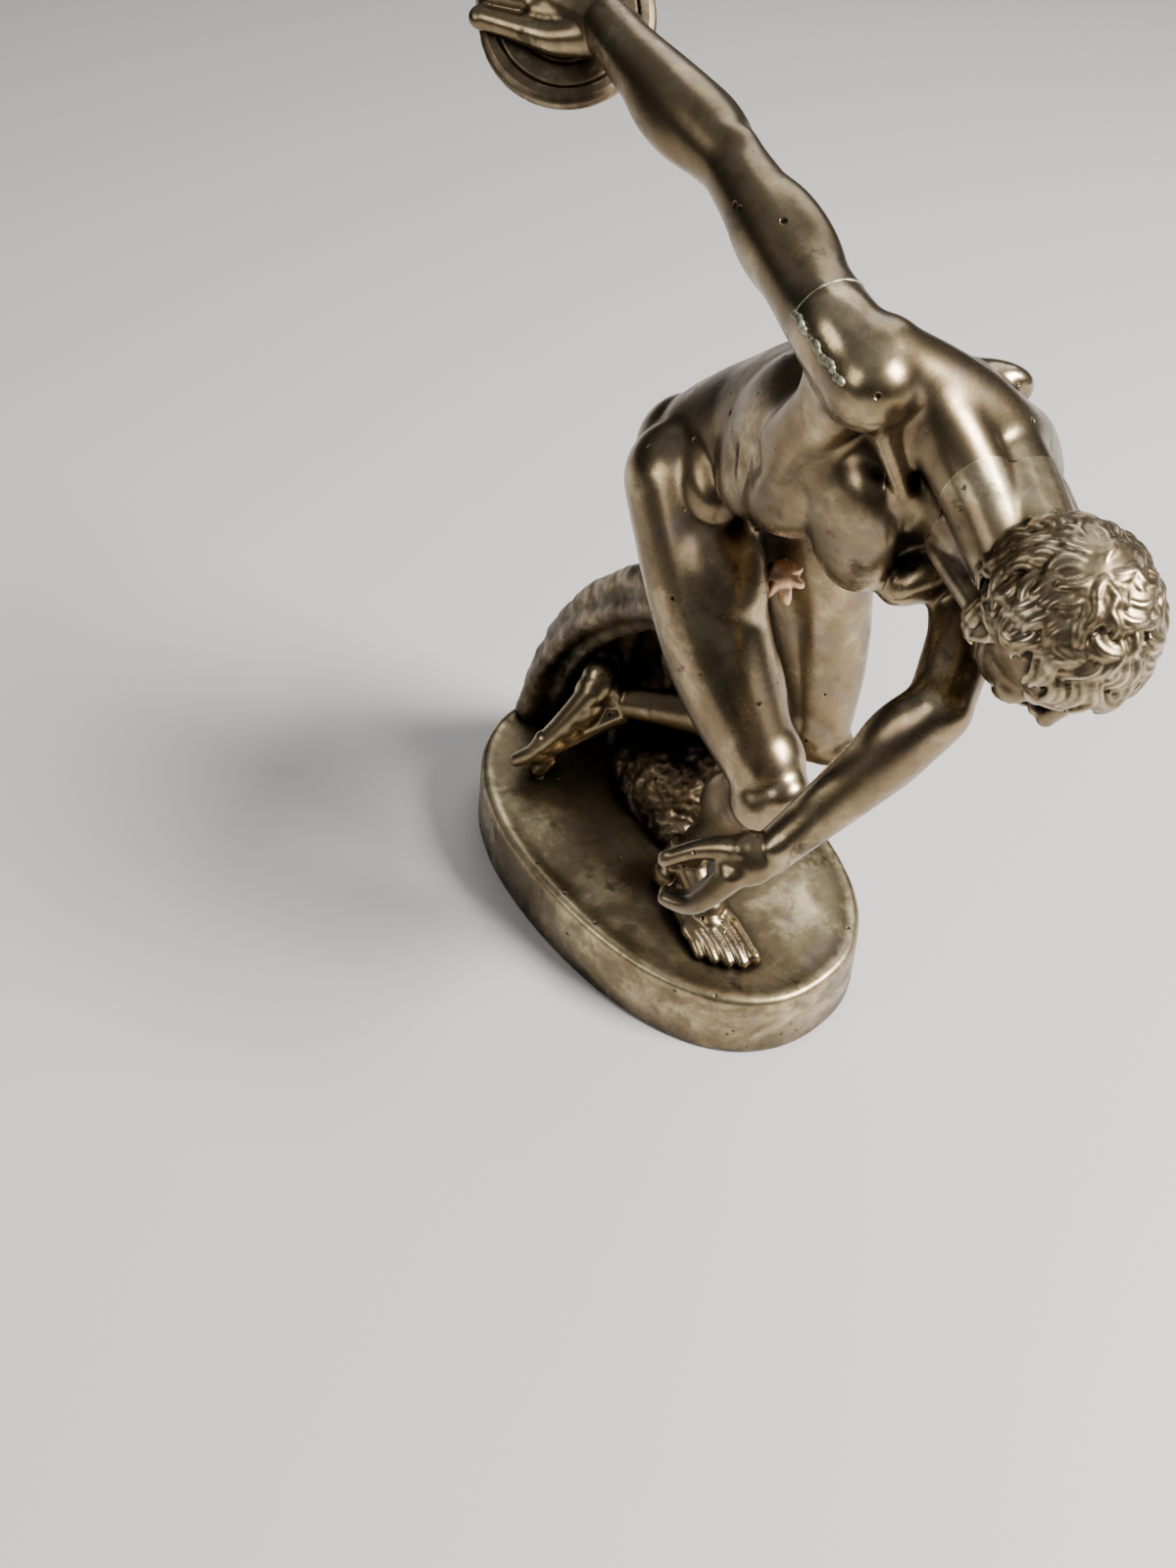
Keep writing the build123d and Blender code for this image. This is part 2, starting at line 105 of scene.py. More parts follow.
pelvisAxes = axesFrom(body["rightHip"] - body["leftHip"], at(0.50, -0.05, 0.86))
spine = body["neck"] - body["pelvis"]
chestAxes = axesFrom(body["rightShoulder"] - body["leftShoulder"], spine)
headAxes = axesFrom(at(-0.316, -0.954, 0.022), at(0.757, -0.236, 0.614))


# a point beside the spine: share runs from pelvis to neck, x to the right, y to the front
def trunk(share, x=0.0, y=0.0):
    blend = min(max(share, 0), 1)
    right = pelvisAxes[0].lerp(chestAxes[0], blend)
    up = pelvisAxes[2].lerp(chestAxes[2], blend)
    right, front, up = axesFrom(right, up)
    bow = 3.5 * sin(pi * blend)
    return body["pelvis"] + spine * share + right * x + front * (y - bow), right, front, up


def local(origin, axes, x, y, z):
    return origin + axes[0] * x + axes[1] * y + axes[2] * z


def meshOf(name, clay):
    mesh = bpy.data.meshes.new(name)
    clay.to_mesh(mesh)
    clay.free()
    return mesh


def clayOf(*meshes):
    clay = bmesh.new()
    for mesh in meshes:
        clay.from_mesh(mesh)
    return clay


def evaluated(thing):
    return bpy.data.meshes.new_from_object(thing.evaluated_get(bpy.context.evaluated_depsgraph_get()))


def linked(name, data):
    thing = bpy.data.objects.new(name, data)
    bpy.context.collection.objects.link(thing)
    return thing


roundClay = bmesh.new()
bmesh.ops.create_icosphere(roundClay, subdivisions=3, radius=1)
unitBall = meshOf("unit_ball", roundClay)


# a turn whose Z runs along and whose X lies nearest to side
def turnTo(along, side):
    along = along.normalized()
    side = side - along * side.dot(along)
    if side.length < 1e-6:
        side = along.orthogonal()
    side.normalize()
    return Matrix((side, along.cross(side), along)).transposed().to_4x4()


# an oval of clay: half sizes across (to side), through, and along
def lump(clay, place, along, side, sizes):
    ball = unitBall.copy()
    ball.transform(Matrix.Translation(place) @ turnTo(along, side) @ Matrix.Diagonal((*sizes, 1)))
    clay.from_mesh(ball)
    bpy.data.meshes.remove(ball)


# tubes along lists of (place, radius), made by curves with a round bevel
def curveMesh(strands, roundness=6):
    curve = bpy.data.curves.new("strands", "CURVE")
    curve.dimensions = "3D"
    curve.bevel_depth = 1.0
    curve.bevel_resolution = roundness
    curve.resolution_u = 8
    curve.use_fill_caps = True
    for strand in strands:
        spline = curve.splines.new("NURBS")
        spline.points.add(len(strand) - 1)
        for point, (place, radius) in zip(spline.points, strand):
            point.co = (*place, 1)
            point.radius = radius
        spline.order_u = min(3, len(strand))
        spline.use_endpoint_u = True
    holder = linked("strands", curve)
    mesh = evaluated(holder)
    bpy.data.objects.remove(holder)
    bpy.data.curves.remove(curve)
    return mesh


# a tube of clay with round ends through (place, radius) stations
def rope(clay, *stations):
    mesh = curveMesh([stations])
    clay.from_mesh(mesh)
    bpy.data.meshes.remove(mesh)
    for place, radius in (stations[0], stations[-1]):
        lump(clay, place, upward, lengthwise, (radius, radius, radius))


# runs modifiers over clay and gives the resulting mesh
def baked(name, clay, modifiers):
    mesh = meshOf(name, clay)
    holder = linked(name, mesh)
    for kind, settings in modifiers:
        modifier = holder.modifiers.new(kind, kind)
        for key, value in settings.items():
            setattr(modifier, key, value)
    result = evaluated(holder)
    bpy.data.objects.remove(holder)
    bpy.data.meshes.remove(mesh)
    return result


# fuses overlapping clay into one skin and rubs it smooth
def softened(name, clay, voxel, rounds):
    return baked(name, clay, (
        ("REMESH", {"mode": "VOXEL", "voxel_size": voxel, "adaptivity": 0}),
        ("SMOOTH", {"factor": 0.5, "iterations": rounds}),
    ))


# closes every open edge loop and gives the corners of the largest cap
def capped(clay):
    rims = [edge for edge in clay.edges if edge.is_boundary]
    caps = bmesh.ops.holes_fill(clay, edges=rims, sides=0)["faces"]
    corners = [vert.co.copy() for vert in max(caps, key=lambda cap: cap.calc_area()).verts]
    bmesh.ops.triangulate(clay, faces=caps)
    return corners


# takes away what lies beyond a plane and closes the cut
def sawn(clay, place, outward):
    everything = [*clay.verts, *clay.edges, *clay.faces]
    bmesh.ops.bisect_plane(clay, geom=everything, plane_co=place, plane_no=outward, clear_outer=True,
                           dist=1e-4)
    capped(clay)


sharpFrom = radians(55)     # edges that turn more than this are shaded sharp


# a finished mesh becomes the piece that stands for a CAD node
def piece(name, mesh, node, material):
    mesh.transform(Matrix.Scale(mm, 4))
    for polygon in mesh.polygons:
        polygon.use_smooth = True
    mesh.set_sharp_from_angle(angle=sharpFrom)
    thing = linked(name, mesh)
    thing.data.materials.clear()
    thing.data.materials.append(material)
    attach(thing, "root")
    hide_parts(node)
    print("made", name, len(mesh.polygons), "faces")


view = {
    "place": at(183.7, -184.4, 336.0) * mm, "forward": at(-0.5147, 0.4244, -0.7450),
    "right": at(0.6183, 0.7857, 0.0204), "lens": 27.0, "sensor": 36.0,
}


def makeCamera():
    camera = bpy.data.cameras.new("camera")
    camera.lens = view["lens"]
    camera.sensor_width = view["sensor"]
    camera.clip_start = 0.01
    holder = linked("camera", camera)
    forward = view["forward"].normalized()
    right = view["right"].normalized()
    turn = Matrix((right, right.cross(forward), -forward)).transposed().to_4x4()
    holder.matrix_world = Matrix.Translation(view["place"]) @ turn
    bpy.context.scene.camera = holder
    print("camera set")


lamps = {
    "window": {"place": at(900, 500, 1100), "aim": at(20, 0, 130), "size": 0.50, "power": 66,
               "tint": (1.0, 0.98, 0.95)},
    "sky": {"place": at(-500, 900, 1300), "aim": at(0, 0, 120), "size": 1.1, "power": 9,
            "tint": (0.93, 0.96, 1.0)},
    "fill": {"place": at(-200, -1200, 900), "aim": at(20, 0, 120), "size": 0.6, "power": 5,
             "tint": (1.0, 0.96, 0.92)},
}


def makeLights():
    for name, facts in lamps.items():
        lamp = bpy.data.lights.new(name, "AREA")
        lamp.shape = "SQUARE"
        lamp.size = facts["size"]
        lamp.energy = facts["power"]
        lamp.color = facts["tint"]
        holder = linked(name, lamp)
        aim = (facts["aim"] - facts["place"]).normalized()
        turn = (-aim).to_track_quat("Z", "Y").to_matrix().to_4x4()
        holder.matrix_world = Matrix.Translation(facts["place"] * mm) @ turn
    print("lamps lit:", len(lamps))


class Socket:
    # a shader value that can be added, multiplied and clamped in an expression

    def __init__(self, tree, socket):
        self.tree = tree
        self.socket = socket

    def maths(self, operation, first, second, clamp=False):
        settings = {"operation": operation, "use_clamp": clamp}
        return self.tree.add("ShaderNodeMath", settings, {0: first, 1: second})

    def __add__(self, other):
        return self.maths("ADD", self, other)

    def __sub__(self, other):
        return self.maths("SUBTRACT", self, other)

    def __rsub__(self, other):
        return self.maths("SUBTRACT", other, self)

    def __mul__(self, other):
        return self.maths("MULTIPLY", self, other)

    __radd__ = __add__
    __rmul__ = __mul__

    def clamped(self):
        return self.maths("ADD", self, 0.0, clamp=True)

    # 0 below low, 1 above high, smooth in between
    def between(self, low, high):
        inputs = {"Value": self, "From Min": low, "From Max": high}
        return self.tree.add("ShaderNodeMapRange", {"interpolation_type": "SMOOTHSTEP"}, inputs, "Result")


class NodeTree:
    def __init__(self, tree):
        self.nodes = tree.nodes
        self.links = tree.links

    def plug(self, target, value):
        if isinstance(value, Socket):
            self.links.new(value.socket, target)
        elif target.type == "RGBA":
            target.default_value = (*value, 1)
        else:
            target.default_value = value

    def add(self, kind, settings, inputs, out=0):
        node = self.nodes.new(kind)
        for key, value in settings.items():
            if key == "stops":
                self.setStops(node.color_ramp.elements, value)
            else:
                setattr(node, key, value)
        for key, value in inputs.items():
            self.plug(node.inputs[key], value)
        return Socket(self, node.outputs[out])

    def setStops(self, elements, stops):
        while len(elements) < len(stops):
            elements.new(0.5)
        for element, (position, colour) in zip(elements, stops):
            element.position = position
            element.color = (*colour, 1)


class Finish(NodeTree):
    def __init__(self, name):
        self.material = bpy.data.materials.new(name)
        self.material.use_nodes = True
        super().__init__(self.material.node_tree)
        self.shader = self.nodes["Principled BSDF"]
        self.place = self.add("ShaderNodeTexCoord", {}, {}, "Object")

    def noise(self, scale, detail=4, rough=0.55, warp=0.0, place=None):
        return self.add("ShaderNodeTexNoise", {}, {"Vector": place or self.place, "Scale": scale,
                                                   "Detail": detail, "Roughness": rough,
                                                   "Distortion": warp})

    def stretched(self, turn, stretch):
        return self.add("ShaderNodeMapping", {}, {"Vector": self.place, "Rotation": turn, "Scale": stretch})

    def pointiness(self):
        return self.add("ShaderNodeNewGeometry", {}, {}, "Pointiness")

    def mix(self, factor, first, second):
        return self.add("ShaderNodeMix", {"data_type": "RGBA"}, {0: factor, 6: first, 7: second}, 2)

    def bump(self, height, depth, strength, under=None):
        inputs = {"Height": height, "Distance": depth, "Strength": strength}
        if under:
            inputs["Normal"] = under
        return self.add("ShaderNodeBump", {}, inputs)

    def wear(self, channels):
        for key, value in channels.items():
            self.plug(self.shader.inputs[key], value)
        return self.material


# for each bronze: the ambient occlusion distance for its painted shade, the occlusion range taken from
# shaded to open, and an offset to the mix of wear and painted shade
bronzes = {
    "plinth_bronze": {"bright": (0.56, 0.45, 0.27), "body": (0.185, 0.142, 0.080),
                      "dark": (0.030, 0.022, 0.013), "reach": 0.018, "gloss": 0.33, "matt": 0.46,
                      "grain": 1.1, "pits": 0.7, "wearAndPaintedShade": -0.02, "crest": 0.24, "hollow": (0.35, 0.98),
                      "groove": 0.2},
    "discus_bronze": {"bright": (0.48, 0.38, 0.24), "body": (0.13, 0.095, 0.06),
                      "dark": (0.020, 0.013, 0.009), "reach": 0.002, "gloss": 0.34, "matt": 0.52,
                      "grain": 0.8, "pits": 0.6, "wearAndPaintedShade": -0.10, "crest": 0.24, "hollow": (0.40, 0.98),
                      "groove": 0.5},
    "leaf_bronze": {"bright": (0.78, 0.50, 0.32), "body": (0.45, 0.27, 0.15), "dark": (0.05, 0.025, 0.015),
                    "reach": 0.002, "gloss": 0.28, "matt": 0.48, "grain": 0.4, "pits": 0.3, "wearAndPaintedShade": 0.05,
                    "crest": 0.2, "hollow": (0.40, 0.98), "groove": 0.5},
    "figure_bronze": {"bright": (0.62, 0.50, 0.31), "body": (0.250, 0.187, 0.108),
                      "dark": (0.028, 0.018, 0.011), "reach": 0.014, "gloss": 0.20, "matt": 0.42,
                      "grain": 0.35, "pits": 1.0, "wearAndPaintedShade": 0.0, "crest": 0.0, "hollow": (0.32, 0.97),
                      "groove": 0.35},
    "hair_bronze": {"bright": (0.66, 0.56, 0.37), "body": (0.225, 0.168, 0.098),
                    "dark": (0.018, 0.012, 0.008), "reach": 0.0036, "gloss": 0.26, "matt": 0.50,
                    "grain": 0.30, "pits": 0.3, "wearAndPaintedShade": 0.0, "crest": 0.24, "hollow": (0.58, 0.97),
                    "groove": 0.92},
    "stump_bronze": {"bright": (0.46, 0.36, 0.22), "body": (0.125, 0.090, 0.050),
                     "dark": (0.014, 0.010, 0.007), "reach": 0.022, "gloss": 0.34, "matt": 0.58,
                     "grain": 0.8, "pits": 1.2, "wearAndPaintedShade": -0.06, "crest": 0.18, "hollow": (0.42, 0.97),
                     "groove": 0.55},
}


# cast bronze: rubbed bright on its ridges and lighter where open, dark brown in the hollows; the hollows
# hold patina, and an ambient occlusion node also paints shade there and between crowded parts
def bronze(name, facts):
    finish = Finish(name)
    reach = {"Distance": facts["reach"]}
    # painted shade: ambient occlusion over the given distance darkens hollows and the gaps between parts,
    # on top of the patina there
    shadeAndPatinaMask = finish.add("ShaderNodeAmbientOcclusion", {"samples": 8}, reach, "AO")
    crest = finish.pointiness().between(0.47, 0.56)
    cloud = finish.noise(38, 5, 0.6, 0.5)
    mottle = finish.noise(150, 6, 0.65, 0.3)
    speck = finish.noise(900, 3, 0.7)
    # this mask mixes worn ridges and noise with the painted shade from ambient occlusion
    wearAndPaintedShade = shadeAndPatinaMask.between(*facts["hollow"]) * 0.62 + crest * facts["crest"]
    wearAndPaintedShade = (wearAndPaintedShade + (cloud - 0.5) * 1.15 + (mottle - 0.5) * 0.6 + facts["wearAndPaintedShade"]).clamped()
    tone = finish.mix(wearAndPaintedShade.between(0.12, 0.66), facts["dark"], facts["body"])
    tone = finish.mix(wearAndPaintedShade.between(0.60, 0.95), tone, facts["bright"])
    groove = 1 - finish.pointiness().between(0.43, 0.505)
    tone = finish.mix(groove * facts["groove"], tone, facts["dark"])
    violet = finish.noise(70, 4, 0.5, 0.8).between(0.54, 0.70) * 0.45
    tone = finish.mix(violet, tone, (0.20, 0.155, 0.15))
    green = finish.noise(55, 4, 0.6, 1.5).between(0.58, 0.74) * 0.25
    tone = finish.mix(green, tone, (0.30, 0.31, 0.18))
    drift = finish.stretched((0, 0, 0.7), (1.0, 1.4, 1.0))
    stain = finish.noise(52, 6, 0.7, 0.2, drift).between(0.58, 0.69) * 0.75
    tone = finish.mix(stain, tone, facts["dark"])
    cells = {"Vector": finish.place, "Scale": 210, "Randomness": 1.0}
    pores = finish.add("ShaderNodeTexVoronoi", {}, cells, "Distance")
    rarity = finish.noise(120, 2, 0.5).between(0.58, 0.64)
    pit = (1 - pores.between(0.10, 0.17)) * rarity * facts["pits"]
    tone = finish.mix(pit.clamped(), tone, (0.012, 0.009, 0.007))
    brush = finish.noise(1.0, 4, 0.7, 0.0, finish.stretched((0.4, 0.7, 0.2), (2600, 240, 320)))
    grain = (speck - 0.5) * 0.6 + (brush - 0.5) * 0.5
    rough = (1 - wearAndPaintedShade) * (facts["matt"] - facts["gloss"]) + facts["gloss"]
    rough = rough + grain * 0.10 + pit * 0.3 + stain * 0.12
    relief = finish.bump(speck * 0.25 + brush * 0.18 + mottle * 0.4, 0.00035 * facts["grain"], 0.5)
    relief = finish.bump(1 - pit.clamped(), 0.0006, 0.9, relief)
    finish.shader.inputs["Metallic"].default_value = 1.0
    return finish.wear({"Base Color": tone, "Roughness": rough.clamped(), "Normal": relief})


# turned or cast stock metal with fine scratches and grime
def simpleMetal(name, colour, rough, grime):
    finish = Finish(name)
    cloud = finish.noise(220, 4, 0.6)
    scratch = finish.noise(1.0, 3, 0.7, 0.0, finish.stretched((0.2, 0.3, 0.9), (2400, 300, 300)))
    tone = finish.mix((cloud.between(0.35, 0.7) * 0.6).clamped(), colour, grime)
    finish.shader.inputs["Metallic"].default_value = 1.0
    relief = finish.bump(scratch * 0.5 + cloud * 0.5, 0.0001, 0.4)
    dullness = (cloud - 0.5) * 0.25 + scratch * 0.1 + rough
    return finish.wear({"Base Color": tone, "Roughness": dullness, "Normal": relief})


# pressed dark green felt: short tangled fibres
def feltFinish(name):
    finish = Finish(name)
    fibre = finish.noise(1500, 4, 0.7, 1.5)
    tone = finish.mix(fibre, (0.012, 0.035, 0.02), (0.05, 0.10, 0.06))
    finish.shader.inputs["Sheen Weight"].default_value = 0.4
    relief = finish.bump(fibre, 0.0004, 0.8)
    return finish.wear({"Base Color": tone, "Roughness": fibre * 0.1 + 0.85, "Normal": relief})


materials = {name: bronze(name, facts) for name, facts in bronzes.items()}
materials["braze"] = simpleMetal("braze", (0.42, 0.42, 0.31), 0.45, (0.12, 0.11, 0.07))
materials["brass_dowel"] = simpleMetal("brass_dowel", (0.70, 0.52, 0.24), 0.32, (0.30, 0.20, 0.08))
materials["steel_fixings"] = simpleMetal("steel_fixings", (0.48, 0.48, 0.50), 0.38, (0.16, 0.13, 0.11))
materials["felt"] = feltFinish("felt")
print("finishes mixed")
makeCamera()
makeLights()


# the trunk's cross sections: share of the spine, half width, half depth, how far ahead of the spine
trunkRings = (
    (-0.13, 20, 14, -5), (-0.03, 26, 20, -9), (0.08, 26.5, 21, -11), (0.20, 25, 21, -11),
    (0.32, 24, 21, -10.5), (0.44, 25, 22, -9.5), (0.56, 27, 23, -7), (0.67, 28.5, 23.5, -5),
    (0.77, 28.5, 23, -4), (0.86, 25, 19, -4), (0.94, 17, 13, -5),
)
ringThickness = 12
ringSteps = 5       # rings laid between two of these
backward = -chestAxes[1]
yokeLean = at(0.04, 0.88, 0.475)     # the upper back leans over to the left shoulder


def trunkClay(clay):
    for ring, following in zip(trunkRings, trunkRings[1:]):
        for step in range(ringSteps):
            share, wide, deep, ahead = (here + (there - here) * step / ringSteps
                                        for here, there in zip(ring, following))
            place, right, front, up = trunk(share, 0, ahead)
            lump(clay, place, up, right, (wide, deep, ringThickness))
    for hand in (1, -1):
        # buttock, hip and groin
        for place, sizes in (((13 * hand, -16, -5), (13, 14, 15)), ((20 * hand, -6, 3), (8, 13, 11))):
            lump(clay, local(body["pelvis"], pelvisAxes, *place), pelvisAxes[2], pelvisAxes[0], sizes)
        # flank roll above the hip, then the obliques
        place, right, front, up = trunk(0.19, 18.5 * hand, -3)
        lump(clay, place, up, right, (8, 14, 7.5))
        place, right, front, up = trunk(0.40, 19 * hand, 0)
        lump(clay, place, up, right, (6.5, 13, 11))
        # belly, in three rows
        for share, ahead in ((0.08, 7.6), (0.21, 7.9), (0.34, 8.6), (0.47, 10.6)):
            place, right, front, up = trunk(share, 5.6 * hand, ahead)
            lump(clay, place, up, right, (5.8, 4.2, 5.8))
        # chest, shoulder blade and the broad back muscle
        place, right, front, up = trunk(0.78, 11 * hand, 15)
        reach = body["rightShoulder" if hand > 0 else "leftShoulder"] - place
        lump(clay, place, reach, up, (11.5, 7.0, 17))
        place, right, front, up = trunk(0.74, 14 * hand, -20)
        lump(clay, place, up + right * 0.25 * hand, right, (11, 5.5, 15))
        place, right, front, up = trunk(0.58, 21 * hand, -7)
        lump(clay, place, up, right, (7, 13, 20))
        # the long muscles beside the backbone
        rope(clay, *[(trunk(share, 6.4 * hand, -depth)[0], 5) for share, depth in
                     ((0.02, 23), (0.2, 24.5), (0.4, 24.5), (0.6, 22.5), (0.8, 20), (0.95, 12))])
        # ribs, slanting forward and down
        for rib in range(3):
            share = 0.48 + 0.08 * rib
            rope(clay, *[(trunk(share + drop, side * hand, ahead)[0], size) for drop, side, ahead, size in
                         ((0.05, 25.6, -2, 1.6), (0.0, 25.0, 5.0, 2.4), (-0.05, 19.5, 11.5, 2.0))])
    # the yoke from shoulder to shoulder across the back of the neck
    tips = [body["rightShoulder"], body["neck"], body["leftShoulder"]]
    rope(clay, (tips[0] + yokeLean * 1, 8.5), (tips[0].lerp(tips[1], 0.5) + yokeLean * 6, 9.5),
         (tips[1] + yokeLean * 7, 10.0), (tips[1].lerp(tips[2], 0.5) + yokeLean * 5 + backward * 2, 9.5),
         (tips[2] + yokeLean * 2, 9))
    for hand, tip in ((1, tips[0]), (-1, tips[2])):
        neck = trunk(0.97, 4 * hand, -5)[0]
        rope(clay, (neck, 9), (neck.lerp(tip, 0.5), 8.5), (tip, 8.0))
        notch = trunk(0.92, 3.0 * hand, 12)[0]
        knob = tip + chestAxes[1] * 5 + chestAxes[2] * 3
        rope(clay, (notch, 2.6), (notch.lerp(knob, 0.5) + chestAxes[1] * 1.5, 2.4), (knob, 2.9))
        place, right, front, up = trunk(0.70, 23.5 * hand, 1)
        rope(clay, (place, 7.5), (tip, 7.0))
        # the fold in front of the armpit
        elbow = body["rightElbow" if hand > 0 else "leftElbow"]
        rope(clay, (trunk(0.60, 24 * hand, 8)[0], 3.2), (trunk(0.74, 26 * hand, 9)[0], 3.6),
             (tip.lerp(elbow, 0.16), 5.2))
        place, right, front, up = trunk(0.60, 15 * hand, 7)
        lump(clay, place, up, right, (11.5, 11, 17))


def neckClay(clay):
    base = body["neck"] - spine.normalized() * 5
    top = local(body["head"], headAxes, 0, -5, -8)
    rope(clay, (base, 12), (base.lerp(top, 0.45), 10.3), (top, 9.6))
    # the nape, and the trapezius climbing it from each shoulder
    nape = body["neck"] + yokeLean * 6
    crown = local(body["head"], headAxes, 0, -9, -6)
    rope(clay, (trunk(0.88, 0, -12)[0], 11), (nape, 11.5), (crown, 9.5))
    for hand, tip in ((1, body["rightShoulder"]), (-1, body["leftShoulder"])):
        rope(clay, (tip + yokeLean * 3, 7.5), (tip.lerp(nape, 0.6) + yokeLean * 2, 8.0),
             (local(body["head"], headAxes, 6 * hand, -11, -6), 6.0))
    for hand in (1, -1):
        ear = local(body["head"], headAxes, 11 * hand, -3, -7)
        notch = trunk(0.93, 2.5 * hand, 12)[0]
        rope(clay, (ear, 2.6), (ear.lerp(notch, 0.5), 3.0), (notch, 2.2))


# each limb: stations along the bone (share, drift to the side, radius), then muscles set on it
# (share, sideways, through, (half width, half depth, half length)); side is the way it bows
limbs = {
    "rightUpperArm": {
        "ends": ("rightShoulder", "rightElbow"), "side": at(0.18, 0.904, 0.39),
        "stations": ((-0.06, -1.5, 8.6), (0.15, -1.4, 8.4), (0.4, -1.1, 7.6), (0.6, -0.6, 7.8),
                     (0.8, -0.2, 7.2), (0.95, 0, 6.6), (1.0, 0, 6.4)),
        "muscles": ((0.15, -1.8, -1.0, (8.2, 8.8, 12)), (0.30, -1.2, 2.0, (7.4, 8.0, 13)),
                    (0.60, -3.0, 1.8, (5.6, 6.2, 15)), (0.58, 3.0, -1.0, (5.4, 6.6, 16)),
                    (0.99, 1.5, -3.6, (4.2, 3.8, 5))),
    },
    "rightForearm": {
        "ends": ("rightElbow", "rightWrist"), "side": at(0.068, 0.886, 0.456),
        "stations": ((0.0, 0, 6.5), (0.25, 0, 8.0), (0.5, -0.5, 7.6), (0.75, -0.8, 6.6), (0.95, -0.6, 5.8),
                     (1.05, -0.4, 5.6)),
        "muscles": ((0.26, 3.0, 1.2, (5.8, 6.2, 14)), (0.40, -3.0, 0.6, (6.2, 6.0, 17)),
                    (0.62, 1.4, 2.0, (5.0, 4.6, 15)), (0.95, 0.0, 0.6, (6.6, 4.8, 5))),
    },
    "leftUpperArm": {
        "ends": ("leftShoulder", "leftElbow"), "side": at(0.55, 0.35, 0.5),
        "stations": ((-0.06, 0, 9.0), (0.2, 0.3, 8.8), (0.5, 0.4, 8.0), (0.8, 0, 7.2), (0.97, 0, 6.9)),
        "muscles": ((0.08, 1.0, 0.0, (9.6, 10, 13)), (0.50, -2.0, 2.0, (6.4, 6.4, 16)),
                    (0.52, 2.6, -1.6, (5.8, 6.6, 17)), (1.0, 1.8, 0.0, (4.8, 4.8, 5.5))),
    },
    "leftForearm": {
        "ends": ("leftElbow", "leftWrist"), "side": at(0.05, -0.853, 0.494),
        "stations": ((0.0, 0.5, 7.3), (0.25, -0.1, 7.8), (0.5, -1.1, 7.0), (0.75, -0.9, 6.0),
                     (0.95, 0, 5.3), (1.04, 0, 5.2)),
        "muscles": ((0.18, 2.2, 1.6, (5.8, 6.4, 13)), (0.30, -2.4, -1.0, (6.0, 6.4, 15)),
                    (0.58, 1.4, 2.0, (4.4, 3.8, 14)), (0.60, -3.0, 1.4, (4.2, 4.2, 14)),
                    (0.97, 0.4, 0.0, (5.6, 4.4, 5))),
    },
    "rightThigh": {
        "ends": ("rightHip", "rightKnee"), "side": at(-0.451, -0.875, -0.187),
        "stations": ((-0.05, 2.5, 15.0), (0.2, 3.8, 15.2), (0.45, 4.6, 14.6), (0.65, 4.2, 13.4),
                     (0.85, 2.0, 11.0), (0.97, 0.3, 9.2), (1.0, 0, 8.4)),
        "muscles": ((0.36, 5.0, 3.0, (12.6, 13, 25)), (0.62, 7.6, 0.0, (8.4, 10, 20)),
                    (0.64, -0.6, 2.0, (10, 10.5, 19)), (0.88, 1.5, 0.0, (10.4, 10.0, 13)),
                    (0.25, 1.0, -5.0, (13, 12, 22)), (0.84, -3.2, 1.0, (5.6, 7, 9))),
    },
    "rightShin": {
        "ends": ("rightKnee", "rightAnkle"), "side": at(0, -1, 0.15),
        "stations": ((0.0, 0, 9.0), (0.2, 0, 9.2), (0.5, 0, 7.6), (0.82, 0, 5.6), (1.0, 0, 6.0)),
        "muscles": (),
    },
    "leftThigh": {
        "ends": ("leftHip", "leftKnee"), "side": at(-0.618, -0.79, -0.06),
        "stations": ((-0.05, -1.5, 15.5), (0.2, -2.4, 16.2), (0.45, -3.0, 15.0), (0.65, -3.0, 13.2),
                     (0.85, -2.0, 10.8), (0.97, -1.2, 9.0), (1.0, -1.0, 8.4)),
        "muscles": ((0.34, -5.0, 0.0, (12.6, 13, 24)), (0.62, -6.0, 2.0, (8.2, 9.6, 20)),
                    (0.64, 0.0, 2.0, (9.6, 10, 19)), (0.25, 0.0, 4.0, (13, 13, 20)),
                    (0.86, -4.2, 1.0, (5.2, 6.6, 9))),
    },
    "leftShin": {
        "ends": ("leftKnee", "leftAnkle"), "side": at(0.1, 0.98, -0.1),
        "stations": ((0.0, 0, 9.0), (0.2, 0, 9.0), (0.5, 0, 7.4), (0.82, 0, 5.4), (1.0, 0, 5.6)),
        "muscles": (),
    },
}


def limbClay(clay, name):
    facts = limbs[name]
    start, end = (body[place] for place in facts["ends"])
    run = end - start
    turn = turnTo(run, facts["side"])
    across, through = turn.col[0].to_3d(), turn.col[1].to_3d()
    stations = [(start + run * share + across * drift, radius)
                for share, drift, radius in facts["stations"]]
    rope(clay, *stations)
    for share, sideways, deep, sizes in facts["muscles"]:
        lump(clay, start + run * share + across * sideways + through * deep, run, across, sizes)


# the calf behind the bone, the kneecap and the tendon above it, the shin's edge in front
def shinClay(clay, knee, ankle, hip, side, calf):
    shin = (ankle - knee).normalized()
    front = (knee - hip).normalized() - shin
    fore = (front - shin * front.dot(shin)).normalized()
    lump(clay, knee + front.normalized() * 4.6, shin, side, (8.0, 6.4, 8.6))
    lump(clay, knee.lerp(hip, 0.10) + front.normalized() * 1.5, knee - hip, side, (10.2, 9.6, 13))
    for sideways, sizes in ((3.2, calf), (-3.2, (calf[0] * 1.05, calf[1] * 1.05, calf[2] * 1.1))):
        lump(clay, knee.lerp(ankle, 0.30) - fore * 5.4 + side.normalized() * sideways, shin, side, sizes)
    rope(clay, (knee.lerp(ankle, 0.20) + fore * 5.6, 2.4), (knee.lerp(ankle, 0.5) + fore * 4.2, 2.6),
         (knee.lerp(ankle, 0.93) + fore * 2.6, 2.2))
    rope(clay, (knee.lerp(ankle, 0.55) - fore * 5.0, 3.2), (knee.lerp(ankle, 0.92) - fore * 4.6, 2.5))


